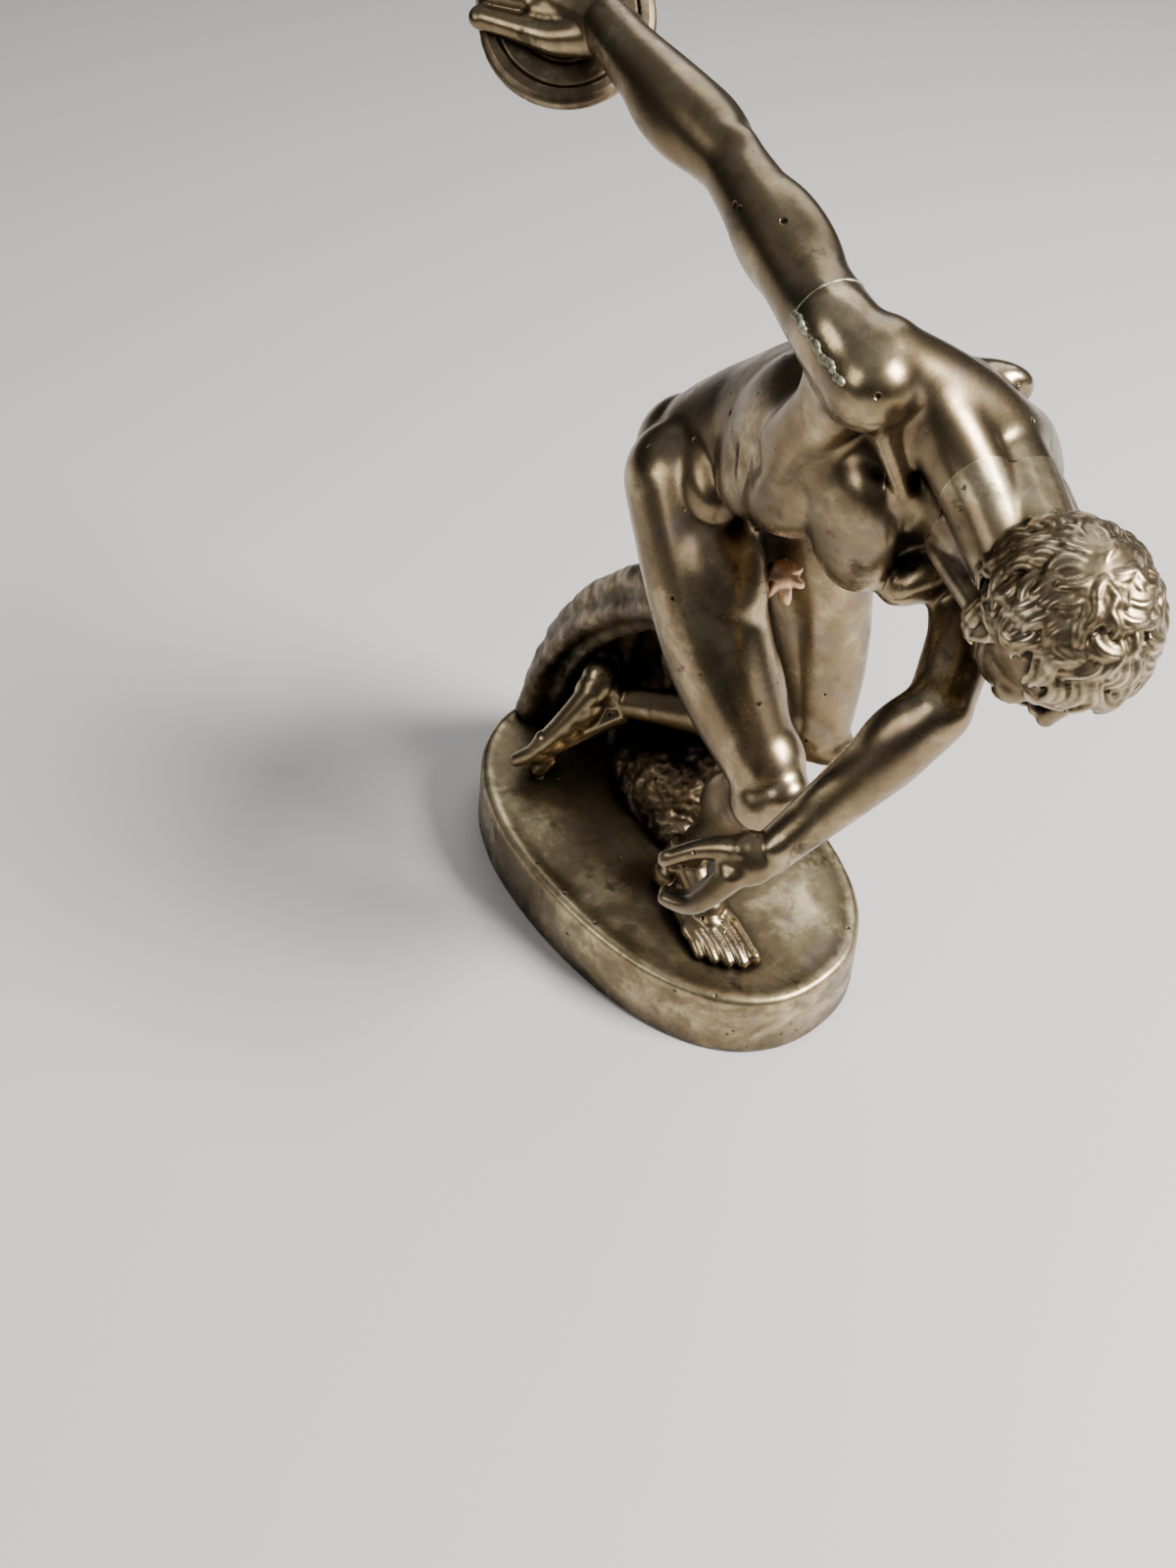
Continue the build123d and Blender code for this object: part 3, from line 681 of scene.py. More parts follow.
def legsClay(clay):
    lump(clay, body["rightKnee"] + at(0.5, -4.2, -2.7), at(0.5, -0.1, -0.8), at(0, -1, 0), (8.2, 8.6, 9.5))
    shinClay(clay, body["rightKnee"], body["rightAnkle"], body["rightHip"], at(0, -1, 0.15), (6.2, 7.4, 17))
    shinClay(clay, body["leftKnee"], body["leftAnkle"], body["leftHip"], at(0.1, 0.98, -0.1),
             (6.0, 7.0, 17))


rightFoot = {
    "heel": (at(19.8, -13.0, 31.2), (6.4, 6.6, 6.4)),
    "ball": ((at(46.5, -10.2, 29.4), 4.0), (at(45.5, -14.0, 29.6), 3.5), (at(43.8, -17.4, 29.2), 3.3),
             (at(41.5, -20.2, 28.8), 3.1), (at(38.4, -22.4, 28.4), 2.9)),
    "toes": (
        ((at(50, -10.6, 29.2), 3.1), (at(55, -11.6, 28.4), 3.1), (at(58.6, -12.4, 27.9), 2.8)),
        ((at(50, -14.6, 29.6), 2.3), (at(54.5, -15.6, 29.2), 2.2), (at(58.2, -16.4, 27.4), 2.0)),
        ((at(48, -18.0, 29.2), 2.2), (at(52.3, -19.0, 28.8), 2.1), (at(55.2, -19.7, 27.2), 1.9)),
        ((at(45.5, -20.8, 28.8), 2.1), (at(49.2, -21.8, 28.3), 2.0), (at(51.7, -22.4, 27.0), 1.8)),
        ((at(42, -23.0, 28.4), 2.0), (at(45.2, -24.2, 27.8), 1.9), (at(47.6, -24.8, 26.8), 1.7)),
    ),
}


def rightFootClay(clay):
    ankle = body["rightAnkle"]
    place, sizes = rightFoot["heel"]
    lump(clay, place, at(1, 0, 0.1), at(0, 1, 0), (sizes[0], sizes[2], sizes[1]))
    rope(clay, (ankle, 6.2), (at(31, -12.0, 37.0), 6.2), (at(38, -13.0, 32.6), 5.6))
    rope(clay, (at(20, -13.6, 29.5), 4.2), (at(30, -18.0, 29.2), 4.2), (at(40, -21.0, 28.4), 3.2))
    rope(clay, (ankle + at(-3.5, -0.8, 3), 3.6), (at(18.6, -12.6, 37.0), 3.6), (at(18.6, -13.0, 31.5), 4.6))
    rope(clay, (at(21, -12.5, 30.5), 4.6), (at(32, -10.4, 32.4), 4.6), (at(45, -10.4, 29.6), 3.8))
    rope(clay, (at(30, -14.0, 33.0), 5.5), (at(42, -15.5, 30.2), 4.2))
    for knob in (at(23.6, -16.2, 40.2), at(25.0, -3.6, 42.0)):   # ankle bones
        lump(clay, knob, upward, lengthwise, (2.4, 2.4, 2.8))
    for (place, radius), toe in zip(rightFoot["ball"], rightFoot["toes"]):
        root, instep = at(31, -12.5, 35.6).lerp(place, 0.25), place.lerp(at(33, -13, 35.5), 0.35)
        rope(clay, (root, 1.6), (instep, 1.8), (place, radius), *toe)
        tip, thick = toe[-1]
        nail(clay, tip + at(0.2, 0, thick * 0.80), toe[-1][0] - toe[-2][0], upward, thick * 0.62)


# a small flat nail, set on the end of a toe or a thumb
def nail(clay, tip, along, up, size):
    lump(clay, tip, along, along.cross(up), (size, size * 0.35, size * 1.25))


def leftFootClay(clay):
    ankle = body["leftAnkle"]
    heel = at(-38.6, 2.6, 66.0)
    run = at(-46.0, -20.5, 31.0) - heel
    across, sole = at(-0.134, 0.824, -0.51).normalized(), at(-0.961, -0.046, 0.179).normalized()
    lump(clay, heel, run, across, (6.0, 6.0, 7.0))
    rope(clay, (at(-45.2, -18.6, 28.4), 3.3), (at(-43.5, -15.5, 34), 3.6))
    for share, wide, thick, down in ((0.10, 7.0, 6.4, 1.5), (0.28, 7.4, 6.4, 3.0), (0.46, 7.8, 5.6, 2.6),
                                     (0.62, 8.4, 4.6, 1.6), (0.76, 8.8, 3.8, 0.4)):
        lump(clay, heel + run * share - sole * down, run, across, (wide, thick, 9.0))
    rope(clay, (ankle, 6.0), (heel.lerp(ankle, 0.4), 6.0))
    for sideways, thick in ((-3.6, 4.4), (0, 4.8), (3.6, 4.2)):
        rope(clay, (heel + run * 0.12 + across * sideways * 0.6 - sole * 2.5, thick + 0.8),
             (heel + run * 0.42 + across * sideways * 1.1 - sole * 3.0, thick),
             (heel + run * 0.74 + across * sideways * 1.4 - sole * 0.5, thick * 0.80))
    rope(clay, (ankle + run * 0.05 - sole * 2.0, 5.6), (heel + run * 0.50 - sole * 5.0, 4.2),
         (heel + run * 0.78 - sole * 1.5, 3.2))
    for sideways, reach, thick in ((-5.6, 1.00, 2.9), (-1.8, 0.99, 2.2), (1.4, 0.96, 2.1),
                                   (4.2, 0.93, 2.0), (6.8, 0.89, 1.9)):
        knuckle = heel + run * (reach - 0.20) + across * sideways
        tip = heel + run * reach + across * sideways * 1.02 + sole * 3.4
        rope(clay, (knuckle - run.normalized() * 5, thick * 1.1), (knuckle - sole * 0.4, thick * 1.05),
             (knuckle.lerp(tip, 0.55) - sole * 0.6, thick), (tip, thick * 0.9))


discus = {
    "axis": at(0.496, -0.447, 0.744).normalized(), "radius": 19.5, "edge": 1.5, "belly": 3.4,
    "grooves": (0.27, 0.56, 0.80), "grooveWidth": 0.30, "grooveDepth": 0.50, "steps": 112, "turns": 144,
}
discusMiddle = middleOf("discus")
fingerRun = at(-0.79, -0.59, 0.173).normalized()


def onDiscus(along, sideways, above):
    across = discus["axis"].cross(fingerRun)
    return discusMiddle + fingerRun * along + across * sideways + discus["axis"] * above


def rightHandClay(clay):
    wrist = body["rightWrist"]
    # palm and the root of the thumb
    rope(clay, (wrist, 5.2), (onDiscus(-6, 2.5, 8.0), 5.4), (onDiscus(2, 0.5, 6.6), 4.6))
    for sideways in (-8.0, -4.0, 0.2, 3.6):
        rope(clay, (onDiscus(-9, sideways * 0.5 + 3, 9.4), 4.0),
             (onDiscus(-2, sideways * 0.85 + 0.6, 7.6), 3.5), (onDiscus(5, sideways, 5.6), 3.0))
    rope(clay, (onDiscus(-10, 6.5, 9.5), 4.4), (onDiscus(-2, 8.4, 6.4), 3.6),
         (onDiscus(4.5, 8.0, 5.0), 2.9), (onDiscus(11, 7.2, 3.6), 2.6), (onDiscus(16.5, 6.6, 2.4), 2.4))
    lump(clay, onDiscus(17.6, 6.5, 2.2), fingerRun, discus["axis"], (2.0, 2.6, 2.8))
    # four fingers, hooked over the rim
    for sideways, reach, thick in ((2.0, 17.5, 2.3), (-2.4, 19.0, 2.3), (-6.8, 17.8, 2.2),
                                   (-10.8, 14.8, 2.0)):
        rope(clay, (onDiscus(3, sideways * 0.9, 6.2), thick * 1.25),
             (onDiscus(reach * 0.62, sideways, 5.6), thick * 1.08), (onDiscus(reach, sideways, 3.0), thick),
             (onDiscus(reach + 1.2, sideways, -0.6), thick * 0.86))


# the hanging hand: each digit starts at its root, told from the wrist, and runs along its bones
leftHand = {
    "palm": at(-3.5, -5.5, -4.5), "web": at(-6.5, -8.0, -4.5),
    "thumb": {"root": at(-4.0, -5.5, 0.5), "radii": (3.6, 2.9, 2.2, 2.1),
              "bones": (at(-5.5, -3.5, -2.0), at(-4.5, -4.0, -3.0), at(-3.0, -3.0, -3.5))},
    "index": {"root": at(-3.0, -9.0, -5.0), "radii": (3.6, 2.9, 2.3, 1.9),
              "bones": (at(-2.0, -5.0, -7.0), at(-3.5, -3.0, -4.5), at(-5.0, -1.5, -0.5))},
    "nextFinger": at(-2.0, 2.0, -3.0),
}


def digit(facts):
    place = body["leftWrist"] + facts["root"]
    stations = [(place, facts["radii"][0])]
    for bone, radius in zip(facts["bones"], facts["radii"][1:]):
        place = place + bone
        stations.append((place, radius))
    return stations


def leftHandClay(clay):
    wrist = body["leftWrist"]
    palm = wrist + leftHand["palm"]
    behind = leftHand["nextFinger"]
    thumb, index = digit(leftHand["thumb"]), digit(leftHand["index"])
    rope(clay, (wrist, 4.8), (wrist.lerp(palm, 0.6), 4.8), (palm, 4.8))
    lump(clay, palm + behind * 1.2, wrist - palm, behind, (8.5, 5.4, 8.5))
    plate = (wrist + thumb[0][0] + index[0][0]) / 3
    lump(clay, plate, wrist - palm, thumb[0][0] - index[0][0], (6.4, 4.2, 7.5))
    rope(clay, (wrist, 4.4), *thumb)
    rope(clay, (wrist, 4.4), index[0])
    # the web of skin, the knuckles and the tendons across the back of the hand
    rope(clay, thumb[0], (wrist + leftHand["web"], 3.6), index[0])
    for finger in range(3):
        knuckle = index[0][0] + behind * finger + at(0.8, -0.9, -0.6)
        rope(clay, (wrist + at(0.6, -1.6, -1.6), 1.8), (knuckle, 2.3))
    for finger in range(4):
        rope(clay, *[(place + behind * finger, radius * (1 - 0.04 * finger)) for place, radius in index])
    tip, knuckle = thumb[3][0], thumb[2][0]
    nail(clay, tip + at(0.3, -0.6, 1.8), tip - knuckle, at(0.5, -0.4, 0.75), 1.4)


clayWork = {"voxel": 0.62, "rounds": 60, "fineVoxel": 0.47, "fineRounds": 2, "handVoxel": 0.34,
            "handRounds": 5}


def figureMesh():
    broad = bmesh.new()
    trunkClay(broad)
    neckClay(broad)
    legsClay(broad)
    for name in limbs:
        limbClay(broad, name)
    soft = softened("broad_clay", broad, clayWork["voxel"], clayWork["rounds"])
    small = bmesh.new()
    for shape in (rightFootClay, leftFootClay, rightHandClay, leftHandClay):
        shape(small)
    crisp = softened("small_clay", small, clayWork["handVoxel"], clayWork["handRounds"])
    whole = softened("whole_clay", clayOf(soft, crisp), clayWork["fineVoxel"], clayWork["fineRounds"])
    print("clay figure", len(whole.polygons), "faces")
    return whole


# where the castings meet, and the bones each one hangs on
castingBones = {
    "head": (("neck", "head"),),
    "right_arm": (("rightShoulder", "rightElbow"), ("rightElbow", "rightWrist"), ("rightWrist", "discus")),
    "left_arm": (("leftShoulder", "leftElbow"), ("leftElbow", "leftWrist"), ("leftWrist", "leftGrip")),
    "right_leg": (("rightHip", "rightKnee"), ("rightKnee", "rightAnkle"), ("rightAnkle", "rightToes")),
    "left_leg": (("leftHip", "leftKnee"), ("leftKnee", "leftAnkle"), ("leftAnkle", "leftToes")),
    "torso": (("pelvis", "neck"), ("rightHip", "leftHip"), ("rightShoulder", "leftShoulder")),
}
castingJoints = {"head": 0.24, "right_arm": 0.25, "left_arm": 0.26, "right_leg": 0.24, "left_leg": 0.24}
body.update({"discus": middleOf("discus"), "leftGrip": at(76, -60, 118), "rightToes": at(52, -16, 28),
             "leftToes": at(-46, -20, 31)})
boneReach = {"torso": 13.0, "head": 4.0}     # how much nearer these bones count than a limb's
sawing = {"nearPlane": 34, "legGirth": 23, "armGirth": 17, "ownLead": 18, "never": 1e6,
          "mostFaces": 90000, "keptFaces": 0.54}


def boneDistance(points, start, end):
    start, end = np.array(start), np.array(end)
    run = end - start
    share = np.clip((points - start) @ run / (run @ run), 0, 1)
    return np.linalg.norm(points - start - share[:, None] * run, axis=1)


# of the chosen faces, those joined in the biggest patch
def largestIsland(saw, chosen):
    left = set(np.flatnonzero(chosen).tolist())
    best = []
    while left:
        seed = left.pop()
        patch = [seed]
        for index in patch:
            for edge in saw.faces[index].edges:
                for face in edge.link_faces:
                    if face.index in left:
                        left.discard(face.index)
                        patch.append(face.index)
        if len(patch) > len(best):
            best = patch
    return best


seams = {}


# saws the figure at its joints and gives one closed mesh for each casting
def cutCastings(whole):
    saw = clayOf(whole)
    planes = {}
    for name, share in castingJoints.items():
        start, end = (body[place] for place in castingBones[name][0])
        planes[name] = (start.lerp(end, share), (end - start).normalized())
    for place, along in planes.values():
        far = sawing["nearPlane"]
        near = [face for face in saw.faces if (face.calc_center_median() - place).length < far]
        edges = {edge for face in near for edge in face.edges}
        verts = {vert for face in near for vert in face.verts}
        bmesh.ops.bisect_plane(saw, geom=[*near, *edges, *verts], plane_co=place, plane_no=along, dist=1e-4)
    saw.faces.ensure_lookup_table()
    saw.faces.index_update()
    middles = np.array([face.calc_center_median() for face in saw.faces])
    names = list(castingBones)
    reach = []
    for name in names:
        bones = [boneDistance(middles, body[start], body[end]) for start, end in castingBones[name]]
        reach.append(np.min(bones, axis=0) - boneReach.get(name, 0))
    torso = names.index("torso")
    for name, (place, along) in planes.items():
        short = (middles - np.array(place)) @ np.array(along) < 0
        start, end = (body[key] for key in castingBones[name][0])
        nearBone = boneDistance(middles, start, end) < sawing["nearPlane"]
        row = names.index(name)
        reach[row][short & nearBone] = sawing["never"]
        # beyond its plane a limb keeps all that lies close to its own bone
        girth = sawing["legGirth"] if "leg" in name else sawing["armGirth"]
        fromBone = boneDistance(middles, place, place + along * 60)
        reach[row][~short & (fromBone < girth)] -= sawing["ownLead"]
    owner = np.argmin(reach, axis=0)
    for row, name in enumerate(names):
        if row != torso:
            keep = np.zeros(len(owner), bool)
            keep[largestIsland(saw, owner == row)] = True
            owner[(owner == row) & ~keep] = torso
    meshes = {}
    for row, name in enumerate(names):
        if name == "head":
            continue
        part = saw.copy()
        part.faces.ensure_lookup_table()
        others = [part.faces[index] for index in np.flatnonzero(owner != row)]
        bmesh.ops.delete(part, geom=others, context="FACES")
        seams[name] = capped(part)
        print("sawn", name, "edges not manifold:", sum(not edge.is_manifold for edge in part.edges))
        meshes[name] = meshOf(name, part)
    saw.free()
    return meshes


castings = cutCastings(figureMesh())
for name, mesh in castings.items():
    if len(mesh.polygons) > sawing["mostFaces"]:     # the broad smooth trunk needs fewer faces
        mesh = baked(name, clayOf(mesh), [("DECIMATE", {"ratio": sawing["keptFaces"]})])
    piece(name + "_cast", mesh, name, materials["figure_bronze"])


def onHead(x, y, z):
    return local(body["head"], headAxes, x, y, z)


def skullClay(clay):
    right, front, up = headAxes
    for x, y, z, sizes in (
        (0, -1.5, 2.0, (14.4, 16.6, 15.2)), (0, 7.0, -5.0, (10.6, 8.6, 12.4)),
        (0, 6.5, -12.5, (8.8, 8.0, 6.6)), (0, 8.2, 5.5, (11.6, 7.2, 7.6)),
        (0, 13.4, -16.6, (4.0, 3.2, 3.2)), (7.2, 11.4, -5.8, (3.6, 3.2, 3.4)),
        (-7.2, 11.4, -5.8, (3.6, 3.2, 3.4)), (0, -8, -8, (10, 9, 10)),
    ):
        lump(clay, onHead(x, y, z), up, right, sizes)
    neckClay(clay)


def faceClay(clay):
    right, front, up = headAxes
    rope(clay, (onHead(0, 14.8, 3.5), 1.5), (onHead(0, 16.6, -2.5), 1.6), (onHead(0, 18.8, -6.8), 1.9))
    rope(clay, (onHead(-4.0, 14.2, -12.2), 0.6), (onHead(-1.4, 16.0, -11.2), 1.1),
         (onHead(1.4, 16.0, -11.2), 1.1), (onHead(4.0, 14.2, -12.2), 0.6))
    rope(clay, (onHead(-3.4, 14.0, -12.9), 0.6), (onHead(0, 16.0, -13.7), 1.4),
         (onHead(3.4, 14.0, -12.9), 0.6))
    for hand in (1, -1):
        rope(clay, (onHead(9.6 * hand, 11.4, 2.0), 1.2), (onHead(5.6 * hand, 14.6, 3.4), 1.3),
             (onHead(1.6 * hand, 15.2, 2.2), 1.2))
        lump(clay, onHead(5.5 * hand, 12.2, -0.7), up, right, (2.7, 2.5, 2.3))
        rope(clay, (onHead(8.4 * hand, 12.4, -1.0), 0.45), (onHead(5.5 * hand, 15.0, 1.6), 0.6),
             (onHead(2.5 * hand, 13.6, -1.2), 0.45))
        rope(clay, (onHead(8.4 * hand, 12.4, -1.0), 0.4), (onHead(5.5 * hand, 14.4, -3.0), 0.5),
             (onHead(2.5 * hand, 13.6, -1.2), 0.4))
        lump(clay, onHead(1.8 * hand, 16.4, -7.4), up, right, (1.4, 1.9, 1.3))
        lump(clay, onHead(13.4 * hand, -1.0, -4.5), up + front * 0.2, right, (1.4, 2.6, 4.4))
        rope(clay, *[(onHead(14.4 * hand, -1.0 + 2.8 * sin(turn), -4.0 + 4.6 * cos(turn)), 0.7)
                     for turn in (2.6, 1.2, 0.2, -0.9, -2.0, -3.0)])


hair = {
    "whorl": at(0.10, -0.50, 0.86).normalized(), "skull": at(14.8, 17.0, 15.9), "lift": 0.35,
    "steps": 11, "seed": 7,
    # degrees down from the whorl, and how many locks start there
    "rings": ((2, 5), (11, 9), (22, 15), (36, 21), (50, 25), (64, 27), (78, 27), (92, 25), (106, 20),
              (118, 14)),
}


def onScalp(direction, lift):
    skull = hair["skull"]
    stretch = Vector([part / size for part, size in zip(direction, skull)])
    return direction * ((1 / stretch.length) + lift)


# face, ears and the underside carry no hair
def bare(direction):
    face = direction.y > 0.36 and direction.z < 0.27
    ear = abs(direction.x) > 0.86 and -0.45 < direction.z < 0.05 and -0.25 < direction.y < 0.4
    return face or ear or direction.z < -0.62


# one wavy lock: strands that walk over the scalp side by side and curl under at the end
def lockOfHair(rng, start, away, hand, length):
    strands = []
    sway = rng.uniform(-0.5, 0.5)
    for lane in (-1, 0, 1):
        side = away.cross(start).normalized()
        spot = (start + side * lane * 0.088).normalized()
        heading = away.copy()
        points = []
        for step in range(hair["steps"]):
            share = step / (hair["steps"] - 1)
            arch = sin(pi * share) * 0.7 + (0.35 if lane == 0 else 0)
            place = onScalp(spot, hair["lift"] + arch)
            points.append((onHead(*place), 0.92 * (1 - 0.5 * share ** 2) * (0.8 + 0.35 * sin(pi * share))))
            turn = hand * (0.30 * sin(2 * pi * (share * 0.95 + sway)) + 0.75 * max(0, share - 0.55))
            heading = (heading - spot * heading.dot(spot)).normalized()
            heading = Matrix.Rotation(turn, 3, spot) @ heading
            spot = (spot + heading * length * (1 - 0.35 * share)).normalized()
        if not bare(spot):
            strands.append(points)
    return strands


def hairStrands():
    rng = random.Random(hair["seed"])
    whorl = hair["whorl"]
    first = whorl.cross(at(0, 1, 0)).normalized()
    second = whorl.cross(first)
    strands = []
    for ring, (degrees, count) in enumerate(hair["rings"]):
        for number in range(count):
            around = 2 * pi * (number + 0.5 * (ring % 2) + rng.uniform(-0.22, 0.22)) / count
            down = radians(degrees + rng.uniform(-4, 4))
            out = first * cos(around) + second * sin(around)
            start = whorl * cos(down) + out * sin(down)
            if bare(start):
                continue
            away = (out * cos(down) - whorl * sin(down)).normalized()
            hand = rng.choice((1, 1, -1))
            away = Matrix.Rotation(0.45 * hand + rng.uniform(-0.3, 0.3), 3, start) @ away
            strands += lockOfHair(rng, start, away, hand, rng.uniform(0.050, 0.066))
    return strands


def headMesh():
    clay = bmesh.new()
    skullClay(clay)
    clay = clayOf(softened("skull_clay", clay, 0.5, 14))
    faceClay(clay)
    clay = clayOf(softened("face_clay", clay, 0.36, 3))
    strands = hairStrands()
    clay.from_mesh(curveMesh(strands, 2))
    head = clayOf(softened("head_clay", clay, 0.315, 1))
    start, end = body["neck"], body["head"]
    sawn(head, start.lerp(end, castingJoints["head"]), start - end)
    print("strands of hair:", len(strands))
    return meshOf("head", head)


piece("head_cast", headMesh(), "head", materials["hair_bronze"])


stump = {
    "apex": at(6, 1, 133),
    "foot": (at(-72, -2, 26), at(-70, 8, 26), at(-66, 17, 26), at(-59, 24, 26), at(-50, 29, 26),
             at(-40, 32, 26), at(-30, 33, 26), at(-20, 33, 26), at(-11, 33, 26), at(-2, 32, 26)),
    "leftBow": at(-65, 13, 94.5), "rightBow": at(2, 29.0, 86.0), "thick": 6.2,
}


def bow(start, middle, end, share):
    return start * (1 - share) ** 2 + middle * 2 * share * (1 - share) + end * share ** 2


def hoodMesh():
    clay = bmesh.new()
    feet = stump["foot"]
    for number, foot in enumerate(feet):
        share = number / (len(feet) - 1)
        middle = stump["leftBow"].lerp(stump["rightBow"], share) + at(0, 6, 4) * sin(pi * share)
        top = stump["apex"] + at(-3 + 5 * share, -2 + 6 * share, 0)
        thick = stump["thick"] * (1.0 + 0.10 * sin(5.0 * number))
        rope(clay, *[(bow(foot, middle, top, step / 8), thick * (1 - 0.15 * step / 8))
                     for step in range(9)])
    # folds hanging inside the arch and along its lip
    for start, middle, end, thick in (
        (at(-74, -3, 27), at(-62, 4, 84), at(-3, -3, 122), 3.8),
        (at(-66, 2, 27), at(-55, 8, 78), at(-8, 0, 112), 3.0),
        (at(-56, 12, 27), at(-52, 14, 74), at(-20, 6, 104), 3.4),
        (at(-45, 20, 27), at(-45, 18, 60), at(-30, 9, 92), 3.6),
        (at(-20, 24, 27), at(-24, 20, 70), at(-8, 8, 104), 4.0),
    ):
        rope(clay, *[(bow(start, middle, end, step / 6), thick) for step in range(7)])
    clay = clayOf(softened("hood_clay", clay, 0.85, 10))
    # the rough heap of earth under the shin
    for place, sizes in ((at(-8, 12, 27), (20, 16, 20)), (at(-2, 22, 26), (17, 12, 24)),
                         (at(4, 2, 26), (12, 8, 10)), (at(-24, 14, 26), (14, 13, 13)),
                         (at(-12, 6, 27), (12, 10, 12))):
        lump(clay, place, upward, lengthwise, sizes)
    clay = clayOf(softened("stump_clay", clay, 0.75, 2))
    for vert in clay.verts:
        heap = max(0.0, min(1.0, (vert.co.x + 34) / 10)) * max(0.0, min(1.0, (60 - vert.co.z) / 10))
        grain = noise.fractal(vert.co * 0.35, 1.0, 2.1, 4)
        wide = noise.fractal(vert.co * 0.09 + at(4, 0, 0), 1.0, 2.0, 2)
        vert.co += vert.normal * (grain * (0.12 + 0.55 * heap) + wide * 0.9)
    sawn(clay, at(0, 0, floorLevel - 0.3), -upward)
    return meshOf("stump", clay)


piece("stump_cast", hoodMesh(), "stump", materials["stump_bronze"])


plinthLow, plinthHigh = boxOf("plinth")
plinth = {
    "fullness": 2.27, "points": 160, "half": (plinthHigh - plinthLow) / 2 - at(1.8, 1.8, 0),
    # how far in from the outline, and how high, up the outside and over the rim to the dished top
    "profile": ((4.6, 1.9), (1.2, 1.9), (0.3, 0.9), (-0.6, 0.3), (-1.4, 0.5), (-1.8, 1.2), (-1.7, 2.2),
                (-1.4, 6), (-0.9, 12), (-0.4, 18), (0.0, 22.6), (0.2, 24.2), (0.7, 25.4), (1.5, 26.1),
                (2.4, 26.4), (3.6, 26.35), (5.0, 26.0), (6.6, 25.55), (8.6, 25.3), (12, 25.2), (17, 25.2),
                (24, 25.2), (32, 25.2), (40, 25.2)),
}


def ovalPoint(turn, inset):
    power = 2 / plinth["fullness"]
    away = [abs(part) ** power * (1 if part > 0 else -1) * max(size - inset, 0.5)
            for part, size in zip((cos(turn), sin(turn)), plinth["half"])]
    return at(*away, 0)


def plinthMesh():
    block = bmesh.new()
    count = plinth["points"]
    row = bmesh.ops.create_circle(block, cap_ends=True, segments=count, radius=1)["verts"]
    edges = list(block.edges)
    for number, (inset, level) in enumerate(plinth["profile"]):
        if number > 0:
            made = bmesh.ops.extrude_edge_only(block, edges=edges)["geom"]
            row = [item for item in made if isinstance(item, bmesh.types.BMVert)]
            edges = [item for item in made if isinstance(item, bmesh.types.BMEdge)
                     and all(vert in row for vert in item.verts)]
        for index, vert in enumerate(row):
            vert.co = ovalPoint(2 * pi * index / count, inset) + at(0, 0, level)
    bmesh.ops.holes_fill(block, edges=edges, sides=0)
    tall = [edge for edge in block.edges if edge.calc_length() > 3]
    bmesh.ops.subdivide_edges(block, edges=tall, cuts=1, use_grid_fill=True)
    bmesh.ops.recalc_face_normals(block, faces=block.faces)
    for vert in block.verts:
        swell = noise.fractal(vert.co * 0.06, 1.0, 2.0, 3)
        vert.co += vert.normal * swell * 0.18
    return meshOf("plinth", block)


piece("plinth_cast", plinthMesh(), "plinth", materials["plinth_bronze"])


def discusHeight(radius):
    height = discus["belly"] - (discus["belly"] - discus["edge"]) * (radius / discus["radius"]) ** 2
    for groove in discus["grooves"]:
        away = (radius - groove * discus["radius"]) / discus["grooveWidth"]
        height -= discus["grooveDepth"] * np.exp(-away * away)
    return height + 0.5 * np.exp(-(radius / 1.2) ** 2)


def discusMesh():
    turned = bmesh.new()
    outer = discus["radius"] - discus["edge"]
    radii = [outer * step / discus["steps"] for step in range(discus["steps"] + 1)]
    rim = [(outer + discus["edge"] * sin(turn), discus["edge"] * cos(turn))
           for turn in (0.3, 0.6, 0.9, 1.2, pi / 2)]
    upper = [(radius, discusHeight(radius)) for radius in radii] + rim
    profile = upper + [(radius, -height) for radius, height in reversed(upper[:-1])]
    verts = [turned.verts.new((radius, 0, height)) for radius, height in profile]
    edges = [turned.edges.new(pair) for pair in zip(verts, verts[1:])]
    bmesh.ops.spin(turned, geom=[*verts, *edges], cent=(0, 0, 0), axis=(0, 0, 1), angle=2 * pi,
                   steps=discus["turns"], use_merge=True)
    bmesh.ops.remove_doubles(turned, verts=turned.verts, dist=0.01)
    bmesh.ops.recalc_face_normals(turned, faces=turned.faces)
    for vert in turned.verts:
        radius = vert.co.xy.length
        nick = noise.noise(vert.co * 0.55) if radius > outer - 0.5 else 0
        vert.co.xy *= 1 - 0.008 * max(0, nick)
        vert.co.z += noise.fractal(vert.co * 0.16, 1.0, 2.0, 2) * 0.10
    turned.transform(Matrix.Translation(discusMiddle) @ turnTo(discus["axis"], fingerRun))
    return meshOf("discus", turned)


piece("discus_cast", discusMesh(), "discus", materials["discus_bronze"])


leaf = {"middle": at(32.5, 1.5, 151.0), "out": at(0.83, -0.42, -0.28).normalized(),
        "down": at(0.45, 0.0, -0.89).normalized()}


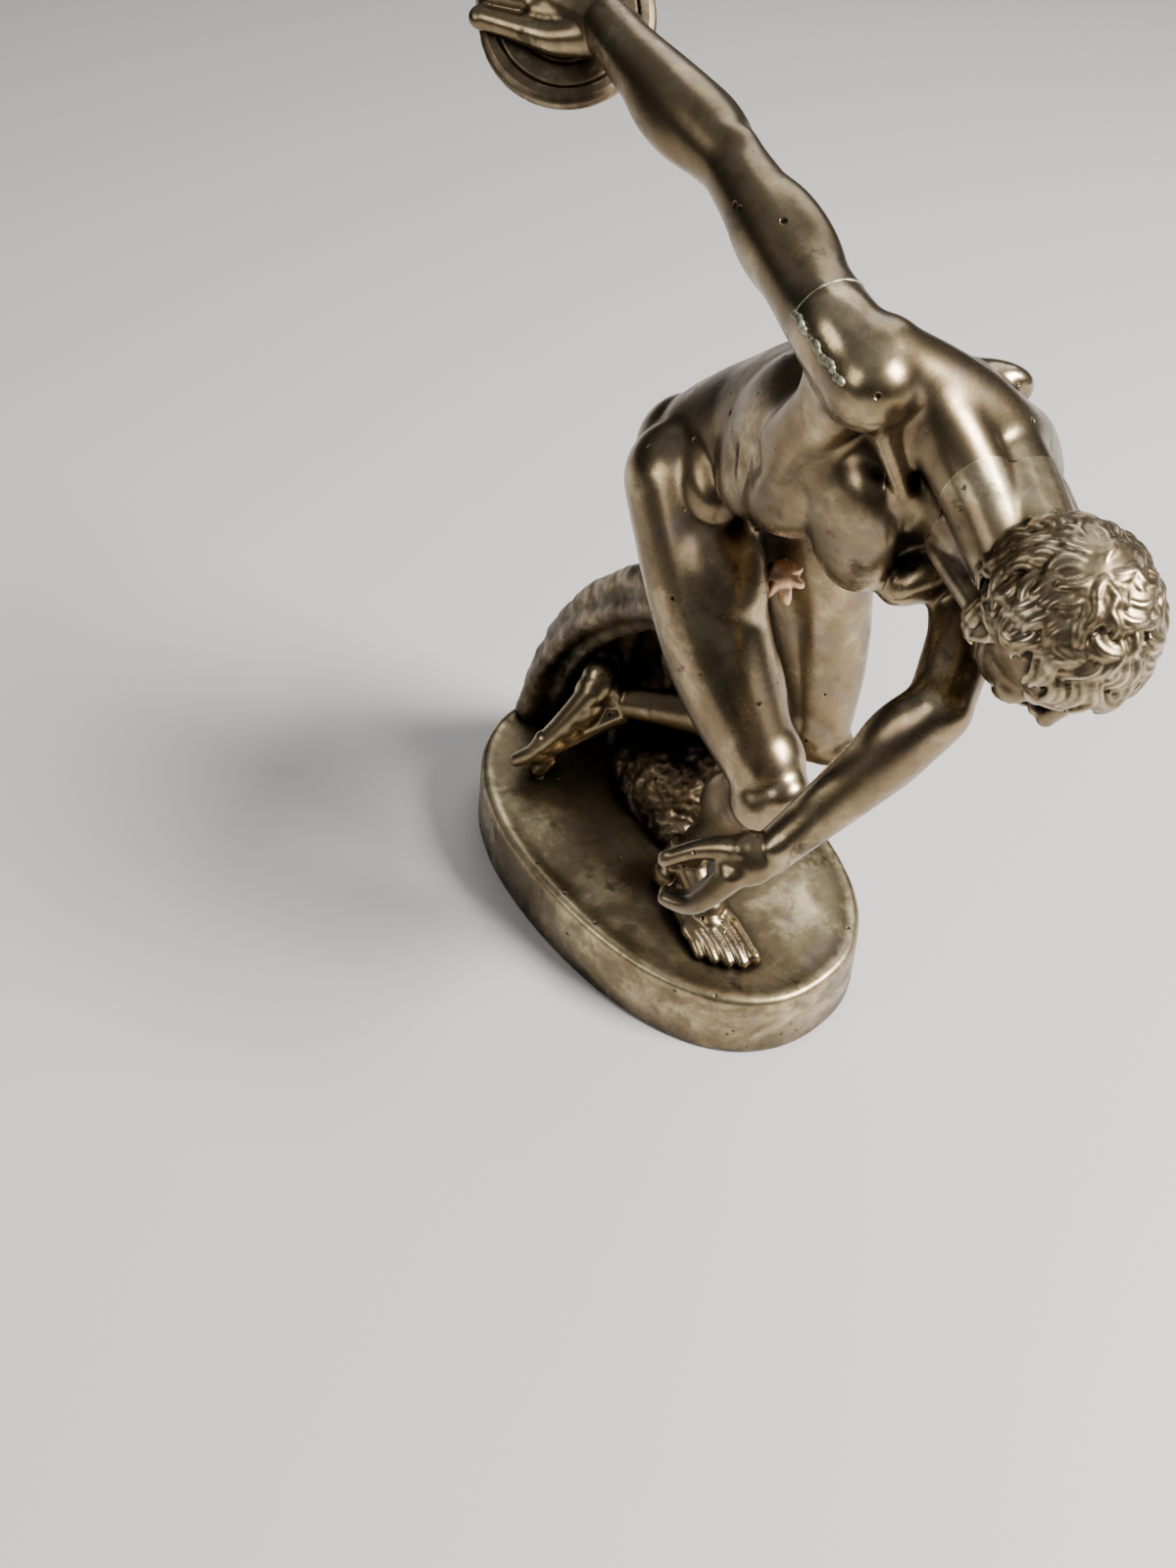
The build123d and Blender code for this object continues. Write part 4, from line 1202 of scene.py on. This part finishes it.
def leafMesh():
    clay = bmesh.new()
    side = leaf["out"].cross(leaf["down"]).normalized()
    stem = leaf["middle"] - leaf["down"] * 4.5
    for lean, reach in ((-1.25, 5.5), (-0.65, 7.6), (0, 9.4), (0.65, 7.6), (1.25, 5.5)):
        along = (leaf["down"] * cos(lean) + side * sin(lean)).normalized()
        lump(clay, stem + along * reach * 0.5 + leaf["out"] * 0.6, along, side, (1.9, 1.3, reach * 0.56))
        rope(clay, (stem + leaf["out"] * 1.2, 0.7), (stem + along * reach * 0.6 + leaf["out"] * 2.3, 0.5),
             (stem + along * reach + leaf["out"] * 0.6, 0.25))
    lump(clay, stem + leaf["down"] * 3.2 - leaf["out"] * 1.0, leaf["down"], side, (4.6, 3.0, 4.6))
    return softened("leaf", clay, 0.3, 2)


piece("fig_leaf_cast", leafMesh(), "fig_leaf", materials["leaf_bronze"])


braze = {"seed": 3, "every": 5, "sunk": 0.30, "radius": (0.28, 0.62), "drops": 15, "dropEvery": 1.05,
         "dropDrift": at(0.15, 0.03, -0.075), "scatter": 0.35, "armpit": at(-0.12, -0.93, 0.22)}


def brazeMesh():
    rng = random.Random(braze["seed"])
    clay = bmesh.new()
    loop = seams["right_arm"]
    middle = sum(loop, at(0, 0, 0)) / len(loop)
    bead = []
    for place in loop[::braze["every"]]:
        out = (place - middle).normalized()
        bead.append((place - out * braze["sunk"], rng.uniform(*braze["radius"])))
    bead.append(bead[0])
    clay.from_mesh(curveMesh([bead], 3))
    # a pitted run of metal from the seam down to the armpit, laid on the skin
    skin = BVHTree.FromBMesh(clayOf(castings["torso"]))
    low = max(loop, key=lambda place: place.dot(braze["armpit"]))
    toward = (body["rightShoulder"] - body["rightElbow"]).normalized()
    for step in range(braze["drops"]):
        aim = low + (toward * braze["dropEvery"] + braze["dropDrift"]) * step
        place = skin.find_nearest(aim)[0]
        place = place + at(*(rng.uniform(-braze["scatter"], braze["scatter"]) for axis in range(3)))
        sizes = (rng.uniform(0.6, 1.1), rng.uniform(0.5, 0.9), rng.uniform(0.7, 1.3))
        lump(clay, place, toward, upward, sizes)
    return softened("braze", clay, 0.22, 2)


piece("braze_bead", brazeMesh(), "shoulder_braze", materials["braze"])


def dress(names, material):
    for name in names:
        holder = bpy.data.objects[name]
        for thing in (holder, *holder.children_recursive):
            if thing.type == "MESH":
                for spot in thing.material_slots:
                    spot.material = material


fixings = [name for name in frame["nodes"] if name.endswith(("_stud", "_washer", "_nut"))]
dress(fixings, materials["steel_fixings"])
dress([name for name in frame["nodes"] if name.endswith("_dowel")] + ["discus_pin"],
      materials["brass_dowel"])
dress(["felt_pad"], materials["felt"])
print("fixings dressed:", len(fixings))


tableTop = {"size": 3, "pale": (0.55, 0.53, 0.515), "shade": (0.51, 0.495, 0.48), "rough": 0.55}
studioSky = {
    "strength": 0.62,
    "stops": ((0.0, (0.25, 0.24, 0.23)), (0.50, (0.03, 0.028, 0.026)), (0.68, (0.08, 0.08, 0.083)),
              (1.0, (0.62, 0.64, 0.67))),
}


def makeFloor():
    finish = Finish("pale_table")
    finish.shader.inputs["Roughness"].default_value = tableTop["rough"]
    tone = finish.mix(finish.noise(6, 3, 0.5) * 0.25, tableTop["pale"], tableTop["shade"])
    finish.wear({"Base Color": tone})
    slab = bmesh.new()
    bmesh.ops.create_grid(slab, x_segments=1, y_segments=1, size=tableTop["size"])
    floor = linked("floor", meshOf("floor", slab))
    floor.data.materials.append(finish.material)
    print("floor laid")


def makeWorld():
    world = bpy.data.worlds.new("studio")
    world.use_nodes = True
    bpy.context.scene.world = world
    sky = NodeTree(world.node_tree)
    direction = sky.add("ShaderNodeTexCoord", {}, {}, "Generated")
    height = sky.add("ShaderNodeSeparateXYZ", {}, {0: direction}, "Z")
    share = sky.add("ShaderNodeMapRange", {}, {"Value": height, "From Min": -1})
    colour = sky.add("ShaderNodeValToRGB", {"stops": studioSky["stops"]}, {0: share})
    background = sky.nodes["Background"]
    sky.plug(background.inputs["Color"], colour)
    sky.plug(background.inputs["Strength"], studioSky["strength"])
    print("studio sky hung")


makeFloor()
makeWorld()
